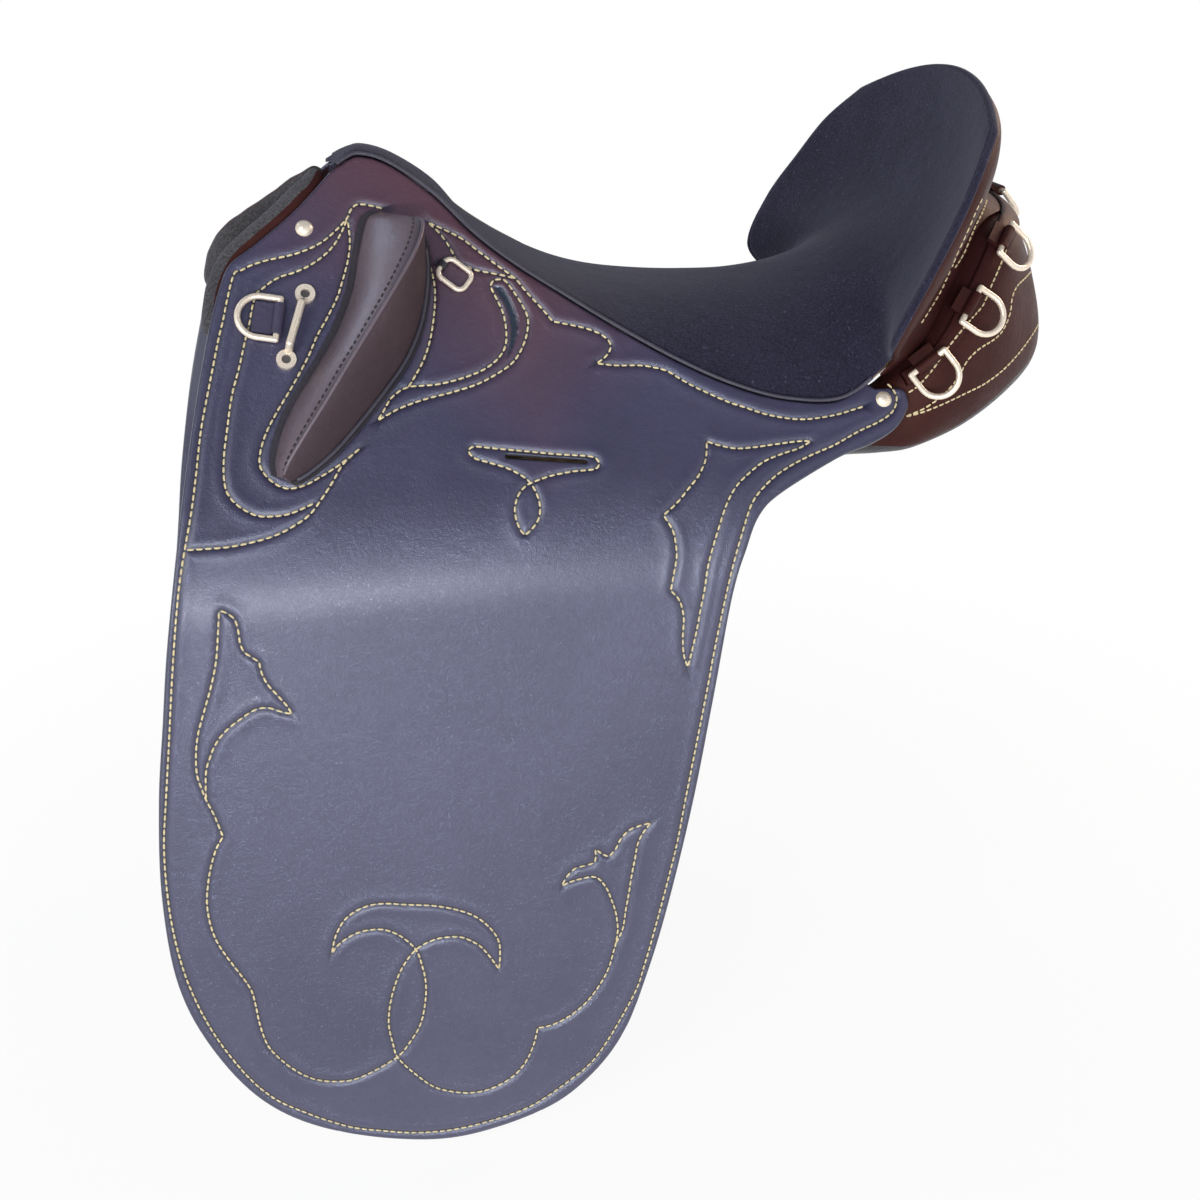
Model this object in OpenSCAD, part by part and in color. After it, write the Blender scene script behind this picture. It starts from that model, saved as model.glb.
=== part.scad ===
// Australian stock saddle as an assembly: a tree of head, bars and cantle board, a padded
// seat, leather skirts with lifting flaps, stuffed panels, knee pads and brass fittings.
// Frame: X runs to the rear, Y to the off (right) side, Z up, so the near side is -Y.
// The datum is the centre plane at the height of the seat edge's lowest point.

/* [Tree] */
// Length of the tree, which the drafting tables follow
tree_len = 400; // [392:1:408]
// Half width over the leather at the datum, as a share of the tree
roof_share = 0.325; // [0.32:0.0025:0.33]
// Lean of the upper leather from the vertical, in degrees
roof_angle = 35.4; // [34.8:0.1:36]
// Thickness of the head's legs, which is also the room for the stirrup bars
head_t = 15.7; // [15.2:0.1:16.2]
// Inside radius of the head's arch
head_arch_r = 6; // [5:0.5:8]
// Thickness of the tree bars
bar_t = 10.7; // [9.5:0.1:11.5]
// Thickness of the cantle board
board_t = 10; // [7:0.5:11]
// Thickness of the steel gullet plate
gullet_t = 3; // [2:0.2:4]

/* [Leather] */
// Thickness of the skirt and flap leather
flap_t = 4; // [3.6:0.1:4.4]
// Lean of the hanging flap from the vertical, in degrees
hang_angle = 5; // [4.6:0.1:5.4]
// Drop of the bend's corner below the datum
bend_drop = 62; // [60:1:64]
// Radius of the bend between the sloping and the hanging leather
bend_r = 160; // [154:1:166]
// Drop of the line where the flap lifts, below the datum
flap_fold = 80; // [77:1:83]
// Assembly gap between neighbouring pieces
gap = 0.3; // [0.25:0.05:0.4]
// Length of the stirrup leather slot
slot_len = 58; // [50:1:62]
// Height of the stirrup leather slot
slot_h = 6; // [5.5:0.5:7]

/* [Seat] */
// Thickness of the suede seat cover
cover_t = 2.5; // [2:0.1:3]
// Thickness of the seat foam at its fullest
foam_t = 11; // [9:0.5:12]
// Thickness of the straining web under the foam
web_t = 2; // [1.5:0.1:2.5]
// Thickness of the leather on the back of the cantle
back_t = 3; // [2.4:0.1:3.6]
// Thickness of the leather facing between the cantle and the panels
facing_t = 2; // [1.6:0.1:2.4]
// Radius of the welt along the seat edge
welt_r = 1.5; // [1.2:0.1:1.8]

/* [Panels] */
// Roundness of the panel section, two is an ellipse
panel_round = 2.6; // [2.2:0.1:3]
// Half width of the front roll along the leather
roll_wide = 9.5; // [8:0.5:10.5]
// Half thickness of the front roll
roll_thick = 8; // [6:0.5:8.5]
// Thickness of the band that carries the rear dees
band_t = 3; // [2.4:0.1:3.6]

/* [Knee pads] */
// Length of the knee pad along its axis
pad_len = 178; // [173:1:183]
// Height of the knee pad's ridge above its base
pad_h = 40; // [34:1:46]
// Thickness of the leather base under the pad
pad_base_t = 2.5; // [2:0.1:3]
// Width of the sewn edge round the pad
pad_flange = 4; // [3:0.5:5]

/* [Dees and rings] */
// Wire radius of the dees
dee_r = 2.1; // [1.8:0.1:2.3]
// Half width of a dee between the middles of its legs
dee_half = 14.1; // [13.5:0.1:14.7]
// Straight length of a dee's legs
dee_leg = 12; // [10:0.5:13]
// Leather thickness round a dee bar
chape_t = 1.6; // [1.3:0.1:1.9]
// Running clearance of a bar in its leather loop
run = 0.06; // [0.05:0.01:0.08]
// Width of a rear chape
chape_w = 18; // [15:0.5:19]
// Width of a front chape
chape_front_w = 21; // [18:0.5:21.5]
// Wire radius of the oval rings
oval_r = 1.7; // [1.5:0.1:1.9]
// Half length of an oval ring between wire middles
oval_half_len = 10.3; // [9.8:0.1:10.8]
// Half width of an oval ring between wire middles
oval_half_w = 7.8; // [7.4:0.1:8.2]
// Corner radius of an oval ring at the wire's middle
oval_corner = 5; // [4.5:0.1:5.4]

/* [Fittings] */
// Distance between the eyes of a footman's loop
loop_len = 47; // [45:0.5:49]
// Outside radius of a loop eye
eye_r = 6.5; // [6:0.1:7]
// Thickness of a loop eye
eye_t = 3; // [2.5:0.1:3.5]
// Radius of the loop's bar
loop_r = 2.6; // [2.2:0.1:3]
// Height of the loop's bar axis above the leather
loop_rise = 8.6; // [8:0.1:9.5]
// Radius of the loop screws' shanks
screw_r = 1.7; // [1.5:0.1:1.9]
// Radius of the loop screws' heads
screw_head_r = 3; // [2.8:0.1:3.1]
// Radius of the dome nails' heads
nail_r = 5.8; // [5.4:0.1:6.2]
// Height of the dome nails' heads
nail_h = 3.2; // [2.8:0.1:3.6]

/* [Stirrup bars and girth] */
// Radius of the stirrup bar's rod
rod_r = 3.2; // [3:0.1:3.4]
// Half length of the stirrup bar's plate
plate_half = 34; // [32:0.5:36]
// Thickness of the stirrup bar's plate
plate_t = 2; // [1.8:0.1:2.2]
// Radius of the catch's pin
catch_pin_r = 1.2; // [1:0.1:1.4]
// Length of the catch's tongue
catch_len = 9.5; // [8:0.5:9.5]
// Radius of the stirrup bar's rivets
rivet_r = 2.5; // [2.2:0.1:2.8]
// Width of a girth strap
strap_w = 28; // [26:0.5:30]
// Thickness of a girth strap
strap_t = 4.5; // [4:0.1:5]
// Length that a girth strap hangs below the datum
strap_drop = 270; // [262:2:278]
// Radius of the buckle holes in the girth straps
hole_r = 2.6; // [2.2:0.1:2.8]
// Distance between buckle holes
hole_pitch = 25; // [23:0.5:27]
// Radius of the girth rivets
girth_rivet_r = 2.5; // [2.2:0.1:2.8]

/* [Output] */
// Node to draw, or all

/* [Hidden] */
$fn = 32;
leather = [0.23, 0.15, 0.14];
suede = [0.09, 0.09, 0.1];
tan_leather = [0.3, 0.18, 0.13];
felt = [0.3, 0.29, 0.31];
wood = [0.6, 0.47, 0.32];
steel = [0.55, 0.56, 0.58];
brass = [0.75, 0.58, 0.27];

roof_half = roof_share * tree_len;
// Depths of the layers below the outer face of the leather
d_head = flap_t + gap;
d_bar = d_head + head_t + gap;
d_roll = d_head + 0.9 * roll_thick;

// The seat's rows from the pommel to the cantle top, lengths in shares of the tree: centre x,
// centre z, edge x, edge z, flare of the edge beyond the leather, then fullness of the curve
// across the row, lean of the layers in degrees, share of the foam and share of the board
seat_row_shares = [
  [-0.465, 0.3925, -0.475, 0.3875, 0, 2.4, 0, 0.25, 0],
  [-0.4425, 0.41, -0.445, 0.405, 0, 2.4, 0, 0.5, 0],
  [-0.415, 0.4175, -0.42, 0.41, 0, 2.4, 0, 0.8, 0],
  [-0.365, 0.401, -0.375, 0.396, 0, 2.4, 0, 1, 0],
  [-0.2975, 0.355, -0.31, 0.352, 0, 2.8, 0, 1, 0],
  [-0.2425, 0.2925, -0.245, 0.2885, 0, 2.8, 0, 1, 0],
  [-0.175, 0.245, -0.1825, 0.241, 0, 2.8, 0, 1, 0],
  [-0.095, 0.204, -0.1075, 0.194, 0, 2.8, 0, 1, 0],
  [-0.01, 0.179, -0.025, 0.144, 0, 2.8, 0, 1, 0],
  [0.09, 0.166, 0.075, 0.089, 0, 2.8, 0, 1, 0],
  [0.185, 0.162, 0.1675, 0.048, 0, 2.6, 0, 1, 0],
  [0.28, 0.165, 0.26, 0.022, 0, 2.4, 5, 1, 0.4],
  [0.375, 0.185, 0.36, 0.018, 0, 2.2, 12, 1, 0.5],
  [0.4625, 0.22, 0.43, 0.075, 0.048, 2, 22, 1, 0.75],
  [0.5325, 0.2625, 0.4075, 0.1375, 0.1675, 2, 33, 1, 1],
  [0.585, 0.32, 0.4475, 0.23, 0.243, 2, 43, 1, 1],
  [0.62, 0.3875, 0.5, 0.315, 0.281, 2, 52, 1, 1],
  [0.64, 0.46, 0.545, 0.39, 0.302, 2, 58, 1, 1],
  [0.6475, 0.535, 0.5925, 0.455, 0.2905, 2, 62, 1, 1]];
seat_last = len(seat_row_shares) - 1;

// The flap's free edge from the pommel down the front, round the bottom and up to the tail
flap_edge_shares = [[-0.475, 0.3875], [-0.5375, 0.335], [-0.605, 0.29], [-0.65, 0.2625],
  [-0.67, 0.23], [-0.6925, 0.1725], [-0.7225, 0.0725], [-0.76, -0.075], [-0.8, -0.2675],
  [-0.8225, -0.4025], [-0.845, -0.545], [-0.86, -0.72], [-0.8525, -0.89], [-0.8175, -1.03],
  [-0.7375, -1.1675], [-0.6375, -1.2475], [-0.4975, -1.2975], [-0.37, -1.31],
  [-0.2225, -1.275], [-0.1325, -1.215], [-0.065, -1.1275], [-0.015, -1.005],
  [0.025, -0.8575], [0.07, -0.6625], [0.1075, -0.46], [0.14, -0.2725], [0.16, -0.195],
  [0.185, -0.145], [0.2275, -0.1125], [0.335, -0.0675], [0.4025, -0.05], [0.45, -0.03],
  [0.4775, -0.0025], [0.48, 0.015], [0.47, 0.0275], [0.4225, 0.03]];

// Side outlines of the tree's pieces, x and z in shares of the tree
head_shares = [[-0.44, 0.4], [-0.5, 0.32], [-0.565, 0.275], [-0.615, 0.235],
  [-0.64, 0.175], [-0.655, 0.08], [-0.55, 0.075], [-0.495, 0.135], [-0.43, 0.22],
  [-0.375, 0.275], [-0.325, 0.305], [-0.325, 0.32], [-0.365, 0.3675], [-0.4, 0.4]];
bar_shares = [[-0.64, 0.07], [-0.625, 0.14], [-0.5125, 0.15], [-0.4, 0.155], [-0.3, 0.17],
  [-0.245, 0.185], [-0.1125, 0.11], [0.0025, 0.035], [0.125, -0.02], [0.225, -0.048],
  [0.245, -0.052], [0.245, -0.085], [0.2, -0.115], [0.125, -0.13], [-0.125, -0.105],
  [-0.375, -0.04], [-0.58, 0.015]];
gullet_shares = [[-0.44, 0.36], [-0.505, 0.27], [-0.57, 0.165], [-0.5, 0.165], [-0.445, 0.25],
  [-0.38, 0.36]];

// The panel's stations from front to rear, lengths in shares of the tree: x, turn of the
// section about the rear centre in degrees, top tip radius and z, bottom tip radius and z,
// half thickness. The stations past the gullet only carry the rear band across.
panel_shares = [
  [-0.675, 0, 0.12, 0.13, 0.177, 0.05, 0.0125],
  [-0.65, 0, 0.105, 0.125, 0.203, -0.0125, 0.0275],
  [-0.585, 0, 0.104, 0.11, 0.258, -0.1125, 0.0375],
  [-0.4, 0, 0.106, 0.1025, 0.293, -0.17, 0.04],
  [-0.15, 0, 0.106, 0.1025, 0.293, -0.1725, 0.04],
  [0.1, 0, 0.112, 0.09, 0.29, -0.165, 0.04],
  [0.25, 0, 0.132, 0.065, 0.268, -0.13, 0.0405],
  [0.375, 0, 0.21, 0.03, 0.28, -0.1, 0.0425],
  [0.375, 14, 0.245, 0.015, 0.285, -0.1, 0.044],
  [0.375, 26, 0.305, 0.085, 0.295, -0.095, 0.05],
  [0.375, 40, 0.315, 0.18, 0.33, -0.075, 0.056],
  [0.375, 56, 0.325, 0.27, 0.38, -0.03, 0.06],
  [0.375, 72, 0.335, 0.29, 0.425, 0.005, 0.06],
  [0.375, 90, 0.335, 0.3, 0.42, 0.02, 0.0575],
  [0.375, 108, 0.335, 0.29, 0.425, 0.005, 0.06]];
panel_end = 12.45;
// The half width and the depth of layers that the panel is drafted for: it moves out or in
// with the leather and the layers above it
panel_roof_share = 0.325;
panel_deep_share = 0.07825;
panel_tuck = roof_half - panel_roof_share * tree_len
  - (d_bar + bar_t + gap - panel_deep_share * tree_len) / cos(roof_angle);
// Angles round the panel section where the band lies
band_low = 42;
band_mid = 56;
band_high = 70;
// Stations where the band starts and crosses the centre, and where the dees sit
band_from = 8.5;
band_centre = 13;
dee_stations = [8.9, 9.88, 10.9];
// Rows and stations between which the facing hangs, its angle on the panel and height above it
facing_from = 15.93;
facing_dip = 2.6;
facing_end = 8.8;
facing_turn = 92;
facing_lift = 7 * gap;

// The front roll's path from the centre down, x and z in shares of the tree
roll_shares = [[-0.4925, 0.395], [-0.514, 0.3575], [-0.5525, 0.3245], [-0.604, 0.289],
  [-0.645, 0.26], [-0.6725, 0.22], [-0.6875, 0.17], [-0.694, 0.135]];

// The knee pad's stations along its axis: place, front edge, rear edge and ridge across the
// axis, all in shares of the pad length, then the share of the ridge height
pad_shares = [[-0.095, -0.1, 0.05, 0.02, 0.3], [-0.05, -0.135, 0.095, 0.075, 0.78],
  [0.07, -0.115, 0.155, 0.1, 1], [0.235, -0.075, 0.2, 0.07, 1],
  [0.395, -0.063, 0.207, 0.045, 0.96], [0.55, -0.075, 0.18, 0.045, 0.88],
  [0.71, -0.095, 0.14, 0.028, 0.72], [0.84, -0.095, 0.1, 0, 0.56],
  [0.945, -0.075, 0.05, -0.02, 0.36], [1, -0.045, 0.01, -0.02, 0.16]];
pad_place_shares = [-0.38, 0.276];
pad_turn = 28;

// Places on the sloping leather, x and z in shares of the tree
front_dee_shares = [-0.581, 0.1775];
front_dee_turn = 12;
loop_place_shares = [-0.554, 0.1675];
loop_turn = 20;
oval_place_shares = [-0.305, 0.2425];
oval_turn = 49;
front_nail_shares = [-0.525, 0.3075];
rear_nail_shares = [0.435, 0.0125];
slot_place_shares = [-0.169, -0.041];
slot_slope = 7;
stirrup_place_shares = [-0.17, 0.045];
strap_x_shares = [-0.335, -0.035];
strap_top_share = -0.01;

// Small lengths that follow the sizes above
dee_stand = dee_r + run + chape_t + gap;
dee_droop = 9;
chape_long = 0.62 * chape_w;
chape_front_long = 0.75 * chape_front_w;
oval_stand = oval_r + run + chape_t + gap;
oval_keep_w = 1.05 * oval_half_w;
oval_keep_long = 0.7 * oval_half_w;
oval_droop = 4;
rod_depth = flap_t + 0.45 * rod_r + rod_r;
plate_depth = d_bar - gap;
plate_half_w = 0.27 * plate_half;
arm_len = 0.24 * plate_half;
rivet_deep = 0.75 * bar_t;
catch_out = 0.88 * plate_half;
catch_depth = plate_depth - plate_t - 1.85 * catch_pin_r;
catch_knuckle_r = 2.1 * catch_pin_r;
catch_half_w = 0.43 * plate_half_w;
lug_in = catch_half_w + gap;
strap_depth = d_bar - gap - strap_t;
strap_end_r = 0.5 * strap_w;
girth_head_r = 2 * girth_rivet_r;
girth_head_t = 0.6 * girth_rivet_r;
nail_shank_r = 0.28 * nail_r;
nail_ball = (nail_r * nail_r + nail_h * nail_h) / (2 * nail_h);
back_gap = 3.6 * gap;
screw_deep = 0.6 * head_t;
pad_lift = gap + pad_base_t + gap;
tiny = 0.01;
far = 1.5 * tree_len;

// Curves through a table and small vector tools
function through(a, b, c, d, u) = 0.5 * (2 * b + (c - a) * u
  + (2 * a - 5 * b + 4 * c - d) * u * u + (3 * b - a - 3 * c + d) * u * u * u);
function along(rows, t) = let (n = len(rows) - 1, i = min(max(floor(t), 0), n - 1), u = t - i)
  through(rows[max(i - 1, 0)], rows[i], rows[i + 1], rows[min(i + 2, n)], u);
function flip(list) = [for (i = [len(list) - 1:-1:0]) list[i]];
function unit(v) = v / norm(v);
function swell(c, power) = sign(c) * pow(abs(c), power);
function mirrored(p) = [p[0], -p[1], p[2]];

// The outer leather in section: a sloping line, a bend and a hanging line
bend_in = bend_r * tan((roof_angle - hang_angle) / 2);
bend_half = roof_half + bend_drop * tan(roof_angle);
bend_y = bend_half - bend_in * sin(roof_angle) - bend_r * cos(roof_angle);
bend_z = bend_in * cos(roof_angle) - bend_drop - bend_r * sin(roof_angle);
function half_w(z, d) = let (r = bend_r - d)
  z >= bend_z + r * sin(roof_angle) ? roof_half - z * tan(roof_angle) - d / cos(roof_angle)
  : z <= bend_z + r * sin(hang_angle)
    ? bend_half - (z + bend_drop) * tan(hang_angle) - d / cos(hang_angle)
  : bend_y + sqrt(r * r - (z - bend_z) * (z - bend_z));
function roof_top(d) = (roof_half - d / cos(roof_angle)) / tan(roof_angle);
bend_steps = 8;
function leather_line(d, top) = concat([[-half_w(top, d), top]],
  [for (i = [0:bend_steps]) let (a = roof_angle + (hang_angle - roof_angle) * i / bend_steps)
    [-bend_y - (bend_r - d) * cos(a), bend_z + (bend_r - d) * sin(a)]],
  [[-half_w(-far, d), -far]]);
module layer(d0, d1) {
  rotate([90, 0, 90])
    translate([0, 0, -far])
      linear_extrude(2 * far)
        polygon(concat(leather_line(d0, roof_top(d1)), flip(leather_line(d1, roof_top(d1)))));
}
module near_side(outline) {
  rotate([90, 0, 0])
    linear_extrude(far)
      polygon(outline);
}
module on_roof(place_shares) {
  translate([place_shares[0] * tree_len, -half_w(place_shares[1] * tree_len, 0),
      place_shares[1] * tree_len])
    rotate([90 - roof_angle, 0, 0])
      children();
}
module off_side() {
  mirror([0, 1, 0])
    children();
}
module both_sides() {
  children();
  off_side()
    children();
}

// A solid between two grids of points, and a solid through a row of closed rings
module slab(top, low) {
  nu = len(top);
  nv = len(top[0]);
  b = nu * nv;
  polyhedron(points = concat([for (r = top) each r], [for (r = low) each r]),
    faces = concat(
      [for (i = [0:nu - 2], j = [0:nv - 2]) let (p = i * nv + j) each
        [[p, p + 1, p + nv], [p + nv, p + 1, p + nv + 1],
          [b + p, b + p + nv, b + p + 1], [b + p + nv, b + p + nv + 1, b + p + 1]]],
      [for (i = [0:nu - 2]) let (p = i * nv, q = p + nv - 1) each
        [[p, p + nv, b + p + nv], [p, b + p + nv, b + p],
          [q + nv, q, b + q], [q + nv, b + q, b + q + nv]]],
      [for (j = [0:nv - 2]) let (p = j, q = (nu - 1) * nv + j) each
        [[p + 1, p, b + p], [p + 1, b + p, b + p + 1],
          [q, q + 1, b + q + 1], [q, b + q + 1, b + q]]]));
}
function middle(ring) = [for (k = [0:2]) let (s = [for (p = ring) p[k]])
  s * [for (p = ring) 1] / len(ring)];
module tube(rings) {
  nu = len(rings);
  nv = len(rings[0]);
  b = nu * nv;
  polyhedron(points = concat([for (r = rings) each r], [middle(rings[0]), middle(rings[nu - 1])]),
    faces = concat(
      [for (i = [0:nu - 2], j = [0:nv - 1]) let (p = i * nv + j, q = i * nv + (j + 1) % nv) each
        [[p, p + nv, q], [q, p + nv, q + nv]]],
      [for (j = [0:nv - 1]) [b, j, (j + 1) % nv]],
      [for (j = [0:nv - 1]) let (p = (nu - 1) * nv) [b + 1, p + (j + 1) % nv, p + j]]));
}

// The seat's surface: row t, place w across from the near edge to the off edge, depth d
function seat_row(t) = along(seat_row_shares, t);
function seat_edge_z(t) = seat_row(t)[3] * tree_len;
function seat_half(t) = half_w(seat_edge_z(t), 0) + seat_row(t)[4] * tree_len;
function seat_at(t, w, d) = let (r = seat_row(t), a = abs(w))
  [(r[0] + (r[2] - r[0]) * a * a) * tree_len + d * sin(r[6]), w * seat_half(t),
    (r[1] + (r[3] - r[1]) * pow(a, r[5])) * tree_len + cover_t + gap - d * cos(r[6])];
// Thinning of the layers towards the cantle's rim
function rim_w(w) = sqrt(max(0, 1 - pow(w, 4)));
function rim_t(t) = let (u = max(0, t - seat_last + 1.5) / 1.5) sqrt(max(0, 1 - u * u));
function foam_low(t, w) = cover_t + gap
  + foam_t * max(0, seat_row(t)[7]) * (t > 12 ? rim_w(w) * rim_t(t) : 1);
function board_low(t, w) = foam_low(t, w) + gap
  + board_t * max(0, seat_row(t)[8]) * rim_w(w) * rim_t(t);
w_step = 1 / 6;
function seat_grid(t0, t1, w1, n) = [for (i = [0:n]) [for (w = [-w1:w_step:w1 + tiny])
  [t0 + (t1 - t0) * i / n, w]]];
function at_depth(grid, d) = [for (row = grid) [for (p = row) seat_at(p[0], p[1], d)]];

// The flap's whole outline, with the seat's edge as its top
function fair(points, n) = [for (i = [0:n * (len(points) - 1)]) along(points, i / n)];
flap_line = concat(fair(flap_edge_shares * tree_len, 3),
  [for (t = [12.5:-0.5:0.5]) [seat_row(t)[2] * tree_len, seat_edge_z(t)]]);

// The panel's section at station t, angle a round it, distance d outside, swell k
function panel_row(t) = let (r = along(panel_shares, t)) [for (i = [0:6]) i == 1 ? r[i]
  : r[i] * tree_len];
function panel_at(t, a, d, k) = let (r = panel_row(t), up = [r[2] - r[4], r[3] - r[5]] / 2,
  e = unit(up), n = [e[1], -e[0]], long = norm(up), c = [r[2] + r[4], r[3] + r[5]] / 2,
  m = 2 / panel_round, cs = swell(cos(a), m), sn = swell(sin(a), m),
  g = unit(n * swell(cos(a), 2 - m) / r[6] + e * swell(sin(a), 2 - m) / long),
  p = c + k * (r[6] * cs * n + long * sn * e) + d * g)
  [r[0] + p[0] * sin(r[1]), -(p[0] + panel_tuck) * cos(r[1]), p[1]];
panel_sides = 16;
function panel_ring(t, k) = [for (j = [panel_sides:-1:1])
  panel_at(t, 360 * j / panel_sides, 0, k)];
function panel_swell(t) = t < 0.5 ? sqrt(1 - pow(1 - t / 0.5, 2) * 0.9)
  : t > panel_end - 0.6 ? sqrt(max(0.05, 1 - pow((t - panel_end + 0.6) / 0.6, 2))) : 1;

// A frame on the band at station t: x along the band, y up the facing, z outwards
function band_at(t, a, d) = panel_at(t, a, d, 1);
module on_band(t, lift) {
  d = gap + band_t;
  x = unit(band_at(t + tiny, band_mid, d) - band_at(t - tiny, band_mid, d));
  u = band_at(t, band_mid + 1, d) - band_at(t, band_mid - 1, d);
  z = unit(cross(x, u));
  y = cross(z, x);
  p = band_at(t, band_mid, d) + lift * z;
  multmatrix([[x[0], y[0], z[0], p[0]], [x[1], y[1], z[1], p[1]], [x[2], y[2], z[2], p[2]],
      [0, 0, 0, 1]])
    children();
}

// Round wire and loops
module rod(p, q, r) {
  v = q - p;
  translate(p)
    rotate([0, acos(v[2] / norm(v)), atan2(v[1], v[0])])
      cylinder(r = r, h = norm(v));
}
module ball(p, r) {
  translate(p)
    sphere(r = r);
}
module dee() {
  a = [-dee_half, 0, 0];
  b = [dee_half, 0, 0];
  c = [-dee_half, -dee_leg, 0];
  d = [dee_half, -dee_leg, 0];
  rod(a, b, dee_r);
  rod(a, c, dee_r);
  rod(b, d, dee_r);
  ball(a, dee_r);
  ball(b, dee_r);
  translate([0, -dee_leg, 0])
    rotate([0, 0, 180])
      rotate_extrude(angle = 180, $fn = 48)
        translate([dee_half, 0])
          circle(r = dee_r);
}
// A leather loop round a bar along x, with its tab on one side
module chape(bar_r, wide, long, side) {
  r = bar_r + run + chape_t;
  difference() {
    union() {
      translate([-wide / 2, 0, 0])
        rotate([0, 90, 0])
          cylinder(r = r, h = wide);
      translate([-wide / 2, side > 0 ? 0 : -long, -r])
        cube([wide, long, r - bar_r / 2]);
    }
    translate([-wide, 0, 0])
      rotate([0, 90, 0])
        cylinder(r = bar_r + run, h = 2 * wide);
  }
}
module oval() {
  x = oval_half_w - oval_corner;
  y = oval_half_len - oval_corner;
  rod([-x, 0, 0], [x, 0, 0], oval_r);
  rod([-x, -2 * oval_half_len, 0], [x, -2 * oval_half_len, 0], oval_r);
  rod([-oval_half_w, -oval_corner, 0], [-oval_half_w, -oval_corner - 2 * y, 0], oval_r);
  rod([oval_half_w, -oval_corner, 0], [oval_half_w, -oval_corner - 2 * y, 0], oval_r);
  for (k = [[x, -oval_corner, 0], [-x, -oval_corner, 90],
      [-x, -oval_corner - 2 * y, 180], [x, -oval_corner - 2 * y, 270]])
    translate([k[0], k[1], 0])
      rotate([0, 0, k[2]])
        rotate_extrude(angle = 90, $fn = 48)
          translate([oval_corner, 0])
            circle(r = oval_r);
}

// The head's arch at a depth below the leather, from one foot over to the other
arch_z = (roof_half * cos(roof_angle) - d_head - head_t - head_arch_r) / sin(roof_angle);
function arch_line(d) = let (r = head_arch_r + d_head + head_t - d)
  concat([[-half_w(0, d), 0]],
    [for (i = [0:12]) let (a = 180 - roof_angle - (180 - 2 * roof_angle) * i / 12)
      [r * cos(a), arch_z + r * sin(a)]],
    [[half_w(0, d), 0]]);
module arch(d0, d1, outline) {
  intersection() {
    rotate([90, 0, 90])
      translate([0, 0, -far])
        linear_extrude(2 * far)
          polygon(concat(arch_line(d0), flip(arch_line(d1))));
    translate([0, far / 2, 0])
      near_side(outline);
  }
}

// Holes that several pieces share, each along its own fastener
module screw_holes() {
  on_roof(loop_place_shares)
    rotate([0, 0, -loop_turn])
      for (s = [-1, 1])
        translate([0, s * loop_len / 2, -d_head - screw_deep - gap])
          cylinder(r = screw_r + run, h = 2 * far);
}
module nail_holes() {
  for (p = [front_nail_shares, rear_nail_shares])
    on_roof(p)
      translate([0, 0, -2 * flap_t])
        cylinder(r = nail_shank_r + run, h = 4 * flap_t);
}
module rivet_holes() {
  on_roof(stirrup_place_shares)
    for (s = [-1, 1])
      translate([s * plate_half / 3, 0, -plate_depth - rivet_deep - gap])
        cylinder(r = rivet_r + run, h = far);
  for (x = strap_x_shares)
    on_roof([x, strap_top_share])
      translate([0, 0, -d_bar - rivet_deep - gap])
        cylinder(r = girth_rivet_r + run, h = far);
}
module slot_hole() {
  p = slot_place_shares * tree_len;
  translate([p[0], 0, p[1]])
    rotate([90, slot_slope, 0]) {
      translate([-slot_len / 2 + slot_h / 2, -slot_h / 2, 0])
        cube([slot_len - slot_h, slot_h, far]);
      for (s = [-1, 1])
        translate([s * (slot_len - slot_h) / 2, 0, 0])
          cylinder(r = slot_h / 2, h = far);
    }
}

// Tree
module tree_head() {
  color(wood)
    difference() {
      arch(d_head, d_head + head_t, head_shares * tree_len);
      both_sides()
        screw_holes();
    }
}
module bar_shape() {
  difference() {
    intersection() {
      layer(d_bar, d_bar + bar_t);
      near_side(bar_shares * tree_len);
    }
    rivet_holes();
  }
}
module tree_bar_left() {
  color(wood)
    bar_shape();
}
module tree_bar_right() {
  color(wood)
    off_side()
      bar_shape();
}
module tree_cantle() {
  g = seat_grid(11, 17.5, 5 * w_step, 13);
  color(wood)
    slab([for (row = g) [for (p = row) seat_at(p[0], p[1], foam_low(p[0], p[1]) + gap)]],
      [for (row = g) [for (p = row) seat_at(p[0], p[1], board_low(p[0], p[1]))]]);
}
module gullet_plate() {
  color(steel)
    arch(d_bar, d_bar + gullet_t, gullet_shares * tree_len);
}

// Stirrup bars, on their plates, with the catch that closes the open end
module stirrup_bar_shape() {
  on_roof(stirrup_place_shares)
    difference() {
      union() {
        translate([-plate_half, -plate_half_w, -plate_depth])
          cube([catch_out + plate_half - catch_knuckle_r - gap, 2 * plate_half_w, plate_t]);
        translate([-plate_half, -0.7 * plate_half_w, -plate_depth])
          cube([arm_len, 1.4 * plate_half_w, plate_depth - rod_depth + rod_r]);
        rod([-plate_half + arm_len / 2, 0, -rod_depth], [0.65 * plate_half, 0, -rod_depth], rod_r);
        ball([0.65 * plate_half, 0, -rod_depth], rod_r);
        for (s = [-1, 1])
          translate([catch_out - catch_knuckle_r - 2 * gap,
              s > 0 ? lug_in : -plate_half_w, -plate_depth])
            cube([2 * catch_knuckle_r, plate_half_w - lug_in,
              plate_depth - catch_depth + catch_knuckle_r]);
        rod([catch_out, -plate_half_w, -catch_depth], [catch_out, plate_half_w, -catch_depth],
          catch_pin_r);
      }
      for (s = [-1, 1])
        translate([s * plate_half / 3, 0, -plate_depth - plate_t])
          cylinder(r = rivet_r + run, h = 3 * plate_t);
    }
}
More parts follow.
